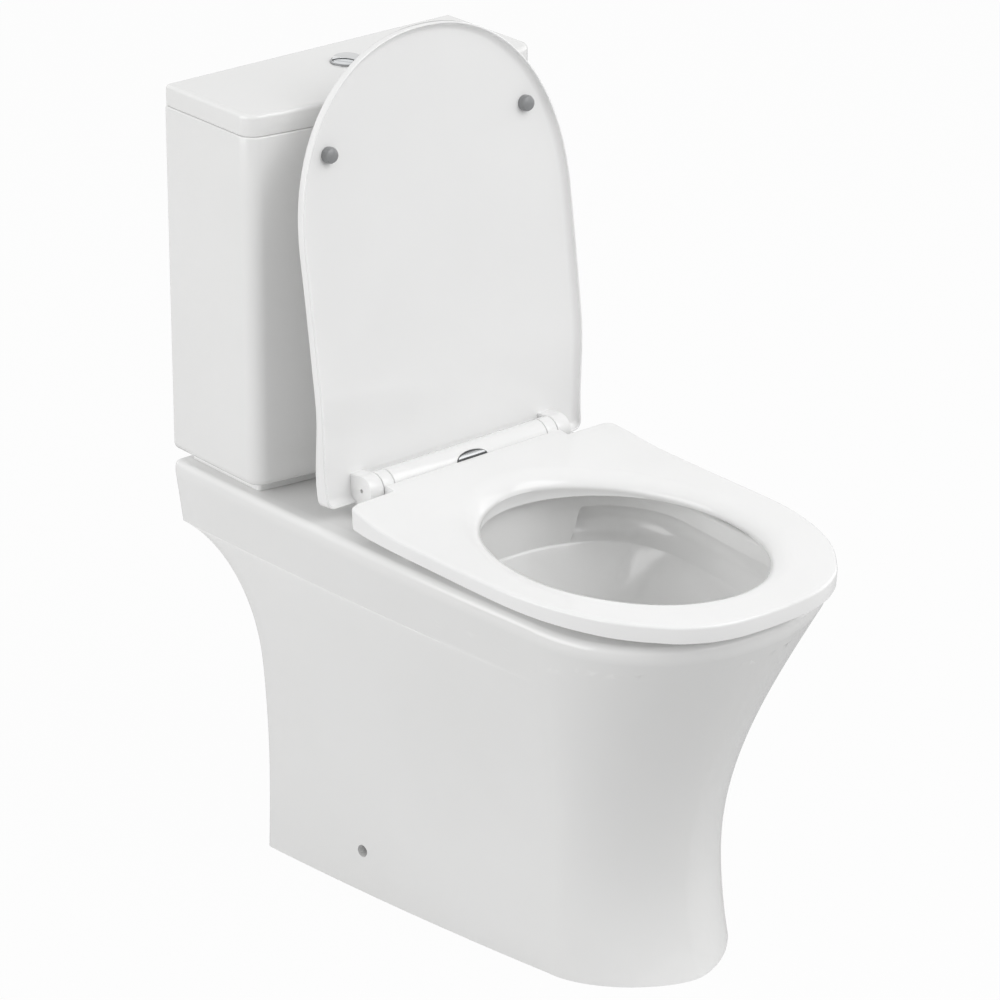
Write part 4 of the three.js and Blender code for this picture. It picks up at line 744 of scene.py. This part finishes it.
SEAT_OUTER = [
    (0.992, 0.129), (0.999, 0.192), (0.999, 0.266), (0.996, 0.34), (0.994, 0.424), (0.989, 0.519),
    (0.979, 0.593), (0.959, 0.656), (0.922, 0.719), (0.872, 0.776), (0.815, 0.825), (0.742, 0.869),
    (0.664, 0.905), (0.58, 0.939), (0.482, 0.964), (0.387, 0.981), (0.235, 0.995), (0, 1),
]
HOLE_TURNS = [0, 0.05, 0.1, 0.15, 0.2, 0.215, 0.24, 0.26, 0.28, 0.31, 0.345, 0.385, 0.42, 0.46]
STATION_STEPS = 4
STRAIGHT_STATIONS = 7


def seat_stations():
    """Outer points and the points of the hole that face them, from the rear's middle to the front."""
    tongue = HINGE_PLACE + HINGE_RADIUS + TONGUE_GAP
    back = HINGE_PLACE + SEAT_REAR_GAP
    end = SEAT_KNUCKLE[1]
    outer = [(end * i / 4, tongue, 1.0) for i in range(5)] + [(end, back, 1.0)]
    for turn in (0, 45, 90):
        a = math.radians(turn)
        x = SEAT_REAR_HALF - SEAT_CORNER + SEAT_CORNER * math.sin(a)
        outer.append((x, back + SEAT_CORNER * (1 - math.cos(a)), SEAT_OUTER_ROUND))
    outer += [(SEAT_HALF * x, HINGE_PLACE + SEAT_REACH * y, SEAT_OUTER_ROUND) for x, y in SEAT_OUTER]
    listed = len(HOLE_TURNS)
    rest = len(outer) - listed
    turns = HOLE_TURNS + [lerp(HOLE_TURNS[-1], 1, (k + 1) / rest) for k in range(rest)]
    return outer, turns


def fine_stations():
    """Stations with three more between each two: on lines along the rear, and on a curve after it."""
    outer, turns = seat_stations()
    fine = []
    for i in range(len(outer) - 1):
        p, q = outer[i], outer[i + 1]
        before = outer[6] if i == 7 else outer[max(i - 1, 8)]
        after = outer[i + 2] if i + 2 < len(outer) else (-p[0], p[1], p[2])
        curve = spline([before, p, q, after], STATION_STEPS)[STATION_STEPS:]
        fine.append((p, turns[i]))
        for s in range(1, STATION_STEPS):
            t = s / STATION_STEPS
            between = tuple(lerp(a, b, t) for a, b in zip(p, q)) if i < STRAIGHT_STATIONS else curve[s]
            fine.append((between, lerp(turns[i], turns[i + 1], t)))
    fine.append((outer[-1], turns[-1]))
    return fine


def hole_point(turn):
    a = turn * math.pi
    ahead = -math.cos(a)
    reach = HOLE_WAIST - HOLE_REAR if ahead < 0 else HOLE_FRONT - HOLE_WAIST
    return HOLE_HALF * math.sin(a), HOLE_WAIST + reach * ahead


def seat_section(outer, turn):
    ox, ow, edge = outer
    ix, iw = hole_point(turn)
    width = math.hypot(ix - ox, iw - ow)

    def at(across, down=None):
        share = across / width
        w = lerp(ow, iw, share)
        top = SEAT_TOP + wave_at(w - HINGE_PLACE)
        return place(lerp(ox, ix, share), w, SEAT_UNDERSIDE if down is None else top - down)

    section = []
    for k in range(7):
        a = math.pi / 2 * k / 6
        section.append(at(edge * (1 - math.cos(a)), edge * (1 - math.sin(a))))
    inner_start = width - SEAT_INNER_ROUND
    for share in (0.15, 0.35, 0.55, 0.75, 0.9):
        section.append(at(lerp(edge, inner_start, share), 0))
    drop = SEAT_TOP - SEAT_UNDERSIDE - 2.4
    for k in range(13):
        s = (1 - k / 12) ** 1.5
        section.append(at(width - s * SEAT_INNER_ROUND, (1 - (1 - (1 - s) ** 1.85) ** (1 / 1.85)) * drop))
    section.append(at(width - 0.9, drop + 1.5))
    lip = (SEAT_UNDERSIDE - SEAT_LIP_LOW) * (1 - smooth(turn / SEAT_LIP_END))
    low = SEAT_TOP + wave_at(iw - HINGE_PLACE) - SEAT_UNDERSIDE + lip
    section.append(at(width - 1.4, low - 0.8))
    section.append(at(width - 2.6, low))
    section.append(at(width - 5, low))
    section.append(at(width - 5.6))
    section.append(at(edge * 0.9))
    outside_low = SEAT_TOP - SEAT_UNDERSIDE + wave_at(ow - HINGE_PLACE) - 1.2
    section.append(at(edge * 0.25 if edge > 1.5 else 0.2, outside_low))
    return section


def seat_ring():
    sections = [seat_section(outer, turn) for outer, turn in fine_stations()]
    mirrored = [[(-x, y, z) for x, y, z in section] for section in sections[1:-1]][::-1]
    body = closed_loop("ring", sections + mirrored)
    pieces = [body]
    far = HINGE_PLACE + HINGE_RADIUS + TONGUE_GAP + SEAT_OUTER_ROUND
    top = SEAT_TOP + wave_at(far - HINGE_PLACE) - 1
    for side in (-1, 1):
        ends = sorted(side * v for v in SEAT_KNUCKLE)
        pieces.append(axis_drum(HINGE_RADIUS, ends[0], ends[1], 0.8))
        pieces.append(block("arm", ends[0], ends[1], HINGE_PLACE, far, HINGE_HEIGHT - HINGE_RADIUS, top, 0.8))
    body = add(*pieces)
    body.name = "seat_ring_smooth"
    return body


def axis_drum(radius, x0, x1, edge, sides=64):
    body = lathe("drum", rounded_profile(radius, x0, x1, edge), sides)
    move(body, Matrix.Rotation(math.pi / 2, 4, "Y"))
    return move(body, Matrix.Translation(Vector(place(0, HINGE_PLACE, HINGE_HEIGHT)) * MM))


def tab_prism(width, rise, low, depth):
    """Block of the tab's half-oval shape that stands out from the bar, aimed at the tab's place."""
    turn = [math.pi * i / 24 for i in range(25)]
    shape = [(width / 2 * math.cos(a), low + rise * math.sin(a)) for a in turn]
    body = loft("tab_prism", [[(x, y, z) for x, y in shape] for z in (0, depth)])
    move(body, Matrix.Rotation(math.pi / 2 - math.radians(TAB_MIDDLE), 4, "X"))
    return move(body, Matrix.Translation(Vector(place(0, HINGE_PLACE, HINGE_HEIGHT)) * MM))


def hinge_bar():
    """Fixed bar with its two ears, and the pocket that the release button is pressed into."""
    bar = axis_drum(HINGE_RADIUS, -BAR_HALF, BAR_HALF, 0.9)
    pieces = [bar]
    for side in (-1, 1):
        x = side * SEAT_BOLT_HALF
        near, far = HINGE_PLACE - EAR_DEPTH_HALF, HINGE_PLACE + EAR_DEPTH_HALF
        pieces.append(block("ear", x - EAR_HALF, x + EAR_HALF, near, far, EAR_LOW, HINGE_HEIGHT - 1, 1.5))
    add(*pieces)
    pocket = tab_prism(TAB_WIDTH + 2 * GAP, TAB_RISE + 2 * GAP, -TAB_RISE / 2 - GAP, 2 * HINGE_RADIUS)
    pocket_floor = HINGE_RADIUS - TAB_DEPTH - TAB_TRAVEL - GAP
    cut(pocket, axis_drum(pocket_floor, -TAB_WIDTH, TAB_WIDTH, 0.2, 128))
    cut(bar, pocket)
    bar.name = "hinge_bar_smooth"
    return bar


def release_tab(name, inset, rise):
    """Curved plate that lies in the bar's pocket, smaller by inset and standing proud by rise."""
    prism = tab_prism(TAB_WIDTH - 2 * inset, TAB_RISE - 2 * inset, inset - TAB_RISE / 2, 2 * HINGE_RADIUS)
    skin = axis_drum(HINGE_RADIUS + rise, -TAB_WIDTH, TAB_WIDTH, 0.2, 128)
    cut(skin, axis_drum(HINGE_RADIUS - TAB_DEPTH, -TAB_WIDTH - 1, TAB_WIDTH + 1, 0.2, 64))
    combine(skin, prism, "INTERSECT")
    skin.name = name
    return skin


# Cover, drawn in its own frame: X across, Y up the cover from the hinge axis, Z to its front
def cover_half():
    bottom = -COVER_BELOW
    points = [(x, bottom - COVER_FOOT_BOW * bow) for x, bow in ((0, 1), (40, 0.9), (80, 0.6), (120, 0.3))]
    for k in range(9):
        a = math.pi / 2 * k / 8
        x = COVER_FOOT_HALF - COVER_CORNER + COVER_CORNER * math.sin(a)
        points.append((x, bottom + COVER_CORNER * (1 - math.cos(a))))
    start = bottom + COVER_CORNER
    for k in range(1, 21):
        share = k / 20
        x = lerp(COVER_FOOT_HALF, COVER_HALF, math.sin(share * math.pi / 2))
        points.append((x, lerp(start, COVER_WAIST, share)))
    points += [(COVER_HALF, lerp(COVER_WAIST, COVER_SHOULDER, k / 8)) for k in range(1, 9)]
    for across, along in rounded_quarter(COVER_POWER, 40):
        points.append((COVER_HALF * across, COVER_SHOULDER + (COVER_LENGTH - COVER_SHOULDER) * along))
    return points


COVER_OUTLINE = [Vector(p) for p in cover_half()]
COVER_OUTLINE += [Vector((-p.x, p.y)) for p in COVER_OUTLINE[1:-1]][::-1]


def cover_ring(inset, depth, foot_inset=None, foot_depth=None):
    foot_inset = inset if foot_inset is None else foot_inset
    foot_depth = depth if foot_depth is None else foot_depth
    ring = []
    for i, p in enumerate(COVER_OUTLINE):
        along = (COVER_OUTLINE[(i + 1) % len(COVER_OUTLINE)] - COVER_OUTLINE[i - 1]).normalized()
        share = smooth(p.y / COVER_THICK_LENGTH)
        off = lerp(foot_inset, inset, share)
        x, y = p.x - along.y * off, p.y + along.x * off
        ring.append((x, y, -wave_at(p.y) - lerp(foot_depth, depth, share)))
    return ring


def cover_rings():
    slope, foot_slope = COVER_DEPTH - COVER_SIDE, COVER_FOOT_DEPTH - COVER_FOOT_SIDE
    rings = []
    for k in range(9):
        s = 1 - k / 8
        depth = COVER_SIDE + slope * math.sin(s * math.pi / 2) ** 0.8
        foot = COVER_FOOT_SIDE + foot_slope * math.sin(s * math.pi / 2)
        rings.append(cover_ring(COVER_SLOPE * s**1.6, depth, foot_slope * 2 * s, foot))
    rings.append(cover_ring(0, COVER_SIDE * 0.6, 0, COVER_FOOT_SIDE * 0.6))
    edge = COVER_RIM / 2
    for k in range(7):
        a = math.pi * k / 6
        rings.append(cover_ring(edge * (1 - math.cos(a)), edge * (1 - math.sin(a))))
    for k in range(1, 13):
        a = math.pi / 2 * k / 12
        inset = COVER_RIM + COVER_COVE * (1 - math.cos(a)) ** 0.8
        rings.append(cover_ring(inset, edge + (COVER_RECESS - edge) * math.sin(a)))
    return rings


def cover_arm(side):
    """Knuckle that reaches back to the panel as a round-ended block."""
    panel = -wave_at(0) - COVER_RECESS - 1
    outline = [(-HINGE_RADIUS, panel)]
    for turn in range(-90, 91, 6):
        a = math.radians(turn)
        outline.append((HINGE_RADIUS * math.sin(a), HINGE_RADIUS * math.cos(a)))
    outline.append((HINGE_RADIUS, panel))
    x0, x1 = (LID_KNUCKLE if side > 0 else (-LID_KNUCKLE[1], -LID_KNUCKLE[0]))
    body = loft("arm", [[(x, y, z) for y, z in outline] for x in (x0, x1)])
    bevel(body, 1.0, 4, 50)
    hole = lathe("peephole", [(PEEPHOLE / 2, -LID_KNUCKLE[1] - 1), (PEEPHOLE / 2, LID_KNUCKLE[1] + 1)], 32)
    return cut(body, move(hole, Matrix.Rotation(math.pi / 2, 4, "Y")))


COVER_FRAME = Matrix.Translation(Vector(place(0, HINGE_PLACE, HINGE_HEIGHT)) * MM) @ Matrix.Rotation(
    math.pi / 2 - math.radians(COVER_TILT), 4, "X"
)


def seat_cover():
    shell = loft("shell", cover_rings(), "strips")
    side = COVER_RIM_GAP_HALF
    floor = -wave_at(0) - COVER_RECESS
    points = [(x, y, z) for x in (-side, side) for y in (-COVER_BELOW - 2, COVER_BELOW) for z in (floor, 8)]
    cut(shell, mesh_object("bottom_room", points, BOX_FACES))
    add(shell, cover_arm(-1), cover_arm(1))
    shell.name = "seat_cover_smooth"
    return move(shell, COVER_FRAME)


# Materials
def material(name, color, roughness, metallic=0.0, bump=None, tint=None, **sockets):
    """Principled material with an optional fine relief and an optional slight colour drift.
    bump is (noise scale, distance in metres, strength); tint is (second colour, noise scale)."""
    mat = bpy.data.materials.new(name)
    mat.use_nodes = True
    nodes, links = mat.node_tree.nodes, mat.node_tree.links
    shader = nodes["Principled BSDF"]
    shader.inputs["Base Color"].default_value = (*color, 1)
    shader.inputs["Roughness"].default_value = roughness
    shader.inputs["Metallic"].default_value = metallic
    for key, value in sockets.items():
        shader.inputs[key.replace("_", " ")].default_value = value
    coords = nodes.new("ShaderNodeTexCoord")
    if bump:
        noise = nodes.new("ShaderNodeTexNoise")
        noise.inputs["Scale"].default_value = bump[0]
        noise.inputs["Detail"].default_value = 2
        relief = nodes.new("ShaderNodeBump")
        relief.inputs["Distance"].default_value = bump[1]
        relief.inputs["Strength"].default_value = bump[2]
        links.new(coords.outputs["Object"], noise.inputs["Vector"])
        links.new(noise.outputs["Fac"], relief.inputs["Height"])
        links.new(relief.outputs["Normal"], shader.inputs["Normal"])
    if tint:
        drift = nodes.new("ShaderNodeTexNoise")
        drift.inputs["Scale"].default_value = tint[1]
        ramp = nodes.new("ShaderNodeValToRGB")
        ramp.color_ramp.elements[0].position = 0.35
        ramp.color_ramp.elements[0].color = (*color, 1)
        ramp.color_ramp.elements[1].position = 0.65
        ramp.color_ramp.elements[1].color = (*tint[0], 1)
        links.new(coords.outputs["Object"], drift.inputs["Vector"])
        links.new(drift.outputs["Fac"], ramp.inputs["Fac"])
        links.new(ramp.outputs["Color"], shader.inputs["Base Color"])
    return mat


# Fine reliefs: noise scale, distance in metres, strength
METAL_RELIEF = (60, 0.0005, 0.02)
PLASTIC_RELIEF = (420, 0.0002, 0.3)

GLAZE = material(
    "glazed_ceramic", (0.86, 0.86, 0.855), 0.14, bump=(9, 0.002, 0.06), tint=((0.845, 0.845, 0.838), 5),
    Coat_Weight=0.3, Coat_Roughness=0.1,
)
SEAT_PLASTIC = material(
    "seat_plastic", (0.9, 0.9, 0.897), 0.1, bump=(14, 0.001, 0.05), tint=((0.885, 0.885, 0.882), 7)
)
CHROME = material(
    "chrome", (0.62, 0.625, 0.63), 0.06, 1.0, bump=METAL_RELIEF, tint=((0.57, 0.575, 0.58), 30)
)
# Chrome darkened nearly to black: painted shade of the gap round the release tab
GAP_SHADE_CHROME = material(
    "chrome_painted_gap_shade", (0.12, 0.122, 0.125), 0.12, 1.0, bump=METAL_RELIEF, tint=((0.09, 0.092, 0.095), 30)
)
# Chrome dimmed to mid grey: painted dark reflection, standing in for darker surroundings than the white
# studio gives
DARK_REFLECTION_CHROME = material(
    "chrome_painted_dark_reflection", (0.33, 0.335, 0.34), 0.1, 1.0, bump=METAL_RELIEF, tint=((0.27, 0.275, 0.28), 30)
)
GREY_RUBBER = material(
    "grey_rubber", (0.26, 0.265, 0.27), 0.22, bump=(900, 0.0002, 0.2), tint=((0.26, 0.265, 0.27), 160)
)
BLACK_RUBBER = material(
    "black_rubber", (0.02, 0.02, 0.021), 0.6, bump=(700, 0.0002, 0.4), tint=((0.03, 0.03, 0.031), 120)
)
VALVE_PLASTIC = material(
    "valve_plastic", (0.75, 0.76, 0.77), 0.42, bump=PLASTIC_RELIEF, tint=((0.7, 0.71, 0.72), 40)
)
BLUE_PLASTIC = material(
    "blue_plastic", (0.1, 0.23, 0.42), 0.42, bump=PLASTIC_RELIEF, tint=((0.085, 0.2, 0.38), 40)
)
STEEL = material(
    "plated_steel", (0.5, 0.5, 0.49), 0.32, 1.0, bump=(260, 0.0003, 0.25), tint=((0.42, 0.42, 0.4), 70)
)
BRASS = material(
    "brass", (0.56, 0.4, 0.16), 0.3, 1.0, bump=(260, 0.0003, 0.2), tint=((0.46, 0.32, 0.13), 60)
)

SLOT_MATERIALS = {
    "white_ceramic": GLAZE,
    "seat_plastic": SEAT_PLASTIC,
    "chrome_trim": CHROME,
    "valve_plastic": VALVE_PLASTIC,
    "blue_plastic": BLUE_PLASTIC,
    "grey_rubber": GREY_RUBBER,
    "black_rubber": BLACK_RUBBER,
    "plated_steel": STEEL,
    "brass": BRASS,
}
# The bezel and the half-flush button take chrome dimmed as a painted dark reflection
NODE_MATERIALS = {"button_bezel": DARK_REFLECTION_CHROME, "half_flush_button": DARK_REFLECTION_CHROME}


def smooth_by_angle(angle):
    """Node group that shades a CAD mesh smooth except over its sharp edges."""
    group = bpy.data.node_groups.new("smooth_by_angle", "GeometryNodeTree")
    group.interface.new_socket("Geometry", in_out="INPUT", socket_type="NodeSocketGeometry")
    group.interface.new_socket("Geometry", in_out="OUTPUT", socket_type="NodeSocketGeometry")
    nodes, links = group.nodes, group.links
    start, end = nodes.new("NodeGroupInput"), nodes.new("NodeGroupOutput")
    weld = nodes.new("GeometryNodeMergeByDistance")
    weld.inputs["Distance"].default_value = 1e-6
    faces, edges = nodes.new("GeometryNodeSetShadeSmooth"), nodes.new("GeometryNodeSetShadeSmooth")
    edges.domain = "EDGE"
    turn, flat = nodes.new("GeometryNodeInputMeshEdgeAngle"), nodes.new("FunctionNodeCompare")
    flat.operation = "GREATER_THAN"
    flat.inputs[1].default_value = math.radians(angle)
    links.new(start.outputs[0], weld.inputs["Geometry"])
    links.new(weld.outputs[0], faces.inputs["Geometry"])
    links.new(faces.outputs[0], edges.inputs["Geometry"])
    links.new(turn.outputs["Unsigned Angle"], flat.inputs[0])
    links.new(flat.outputs[0], edges.inputs["Selection"])
    edges.inputs["Shade Smooth"].default_value = False
    links.new(edges.outputs[0], end.inputs[0])
    return group


def dress_cad_nodes():
    group = smooth_by_angle(35)
    for part in frame["record"]["subparts"]:
        node = frame["nodes"][part["node"]]
        node.data.materials.clear()
        node.data.materials.append(NODE_MATERIALS.get(part["node"], SLOT_MATERIALS[part["material_slot"]]))
        mod = node.modifiers.new("smooth", "NODES")
        mod.node_group = group


def dress(obj, material_of_piece, node, body, angle=32):
    finish_surface(obj, material_of_piece, angle)
    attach(obj, body)
    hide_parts(node)


def build_pieces():
    dress(pan(), GLAZE, "pan", "toilet", 38)
    dress(cistern(), GLAZE, "cistern", "toilet")
    dress(cistern_lid(), GLAZE, "cistern_lid", "toilet")
    dress(seat_ring(), SEAT_PLASTIC, "seat_ring", "seat", 45)
    dress(hinge_bar(), SEAT_PLASTIC, "hinge_bar", "toilet")
    # The tab frame's near-black chrome is painted shade of the gap round the plate
    dress(release_tab("tab_frame", 0, 0.45), GAP_SHADE_CHROME, "release_button", "release_tab")
    # The tab plate's dimmed chrome is a painted dark reflection
    dress(release_tab("tab_plate", 2, 0.9), DARK_REFLECTION_CHROME, "release_button", "release_tab")
    dress(seat_cover(), SEAT_PLASTIC, "seat_lid", "lid", 45)


# Studio
def white_world():
    """Even soft light, with pure white for what the camera and reflections see."""
    world = bpy.data.worlds.new("studio")
    bpy.context.scene.world = world
    world.use_nodes = True
    nodes, links = world.node_tree.nodes, world.node_tree.links
    soft = nodes["Background"]
    soft.inputs["Color"].default_value = (1, 1, 1, 1)
    soft.inputs["Strength"].default_value = 0.56
    seen = nodes.new("ShaderNodeBackground")
    seen.inputs["Color"].default_value = (1, 1, 1, 1)
    seen.inputs["Strength"].default_value = 1.0
    path, mix = nodes.new("ShaderNodeLightPath"), nodes.new("ShaderNodeMixShader")
    seeing = path.outputs["Is Camera Ray"]
    for ray in ("Is Glossy Ray", "Is Transmission Ray"):
        either = nodes.new("ShaderNodeMath")
        either.operation = "MAXIMUM"
        links.new(seeing, either.inputs[0])
        links.new(path.outputs[ray], either.inputs[1])
        seeing = either.outputs[0]
    links.new(seeing, mix.inputs["Fac"])
    links.new(soft.outputs[0], mix.inputs[1])
    links.new(seen.outputs[0], mix.inputs[2])
    links.new(mix.outputs[0], nodes["World Output"].inputs["Surface"])


def floor():
    """Pale floor that takes the shadow, and is nearly white to the camera."""
    bpy.ops.mesh.primitive_plane_add(size=60, location=(0, 0, 0))
    plane = bpy.context.object
    plane.name = "studio_floor"
    mat = bpy.data.materials.new("floor_white")
    mat.use_nodes = True
    nodes, links = mat.node_tree.nodes, mat.node_tree.links
    nodes.remove(nodes["Principled BSDF"])
    matte, glow = nodes.new("ShaderNodeBsdfDiffuse"), nodes.new("ShaderNodeEmission")
    matte.inputs["Color"].default_value = (0.6, 0.6, 0.6, 1)
    path, share = nodes.new("ShaderNodeLightPath"), nodes.new("ShaderNodeMath")
    mix = nodes.new("ShaderNodeMixShader")
    share.operation = "MULTIPLY"
    share.inputs[1].default_value = 0.96
    links.new(path.outputs["Is Camera Ray"], share.inputs[0])
    links.new(share.outputs[0], mix.inputs["Fac"])
    links.new(matte.outputs[0], mix.inputs[1])
    links.new(glow.outputs[0], mix.inputs[2])
    links.new(mix.outputs[0], nodes["Material Output"].inputs["Surface"])
    plane.data.materials.append(mat)


def shaded_floor():
    """Floor inside the foot, in the shade, seen only through the pan's openings."""
    ring = hollow_ring(0.2, 0)
    patch = mesh_object("floor_in_foot", ring, [tuple(range(len(ring)))])
    tint = ((0.57, 0.57, 0.57), 60)
    shade = material("floor_shade", (0.6, 0.6, 0.6), 0.9, bump=(300, 0.0002, 0.2), tint=tint)
    patch.data.materials.append(shade)


def softbox(name, place_m, towards, size, power):
    data = bpy.data.lights.new(name, "AREA")
    data.shape = "RECTANGLE"
    data.size, data.size_y = size
    data.energy = power
    lamp = bpy.data.objects.new(name, data)
    lamp.location = place_m
    lamp.rotation_euler = (Vector(towards) - Vector(place_m)).to_track_quat("-Z", "Y").to_euler()
    bpy.context.scene.collection.objects.link(lamp)


def lights():
    softbox("left_softbox", (-3.5, 0.9, 1.4), (0, 0, 0.45), (3.2, 2.7), 56)
    softbox("front_softbox", (0.8, -2.1, 2.7), (0, -0.1, 0.4), (2.4, 2.4), 45)
    softbox("right_softbox", (3.4, -0.6, 1.5), (0, -0.1, 0.4), (2.8, 2.6), 20)
    softbox("rear_softbox", (-1.3, 3.4, 1.8), (0, 0, 0.5), (2.4, 2.4), 5)


def camera():
    data = bpy.data.cameras.new("photo_camera")
    data.lens = CAMERA_LENS
    data.sensor_width = 36
    data.clip_end = 100
    eye = bpy.data.objects.new("photo_camera", data)
    azimuth, elevation = math.radians(CAMERA_AZIMUTH), math.radians(CAMERA_ELEVATION)
    turn = Matrix.Rotation(azimuth, 4, "Z") @ Matrix.Rotation(math.pi / 2 - elevation, 4, "X")
    turn = turn @ Matrix.Rotation(math.radians(CAMERA_ROLL), 4, "Z")
    eye.matrix_world = Matrix.Translation(CAMERA_PLACE) @ turn
    bpy.context.scene.collection.objects.link(eye)
    bpy.context.scene.camera = eye


camera()
dress_cad_nodes()
build_pieces()
white_world()
floor()
shaded_floor()
lights()
bpy.context.scene.view_settings.view_transform = "Standard"
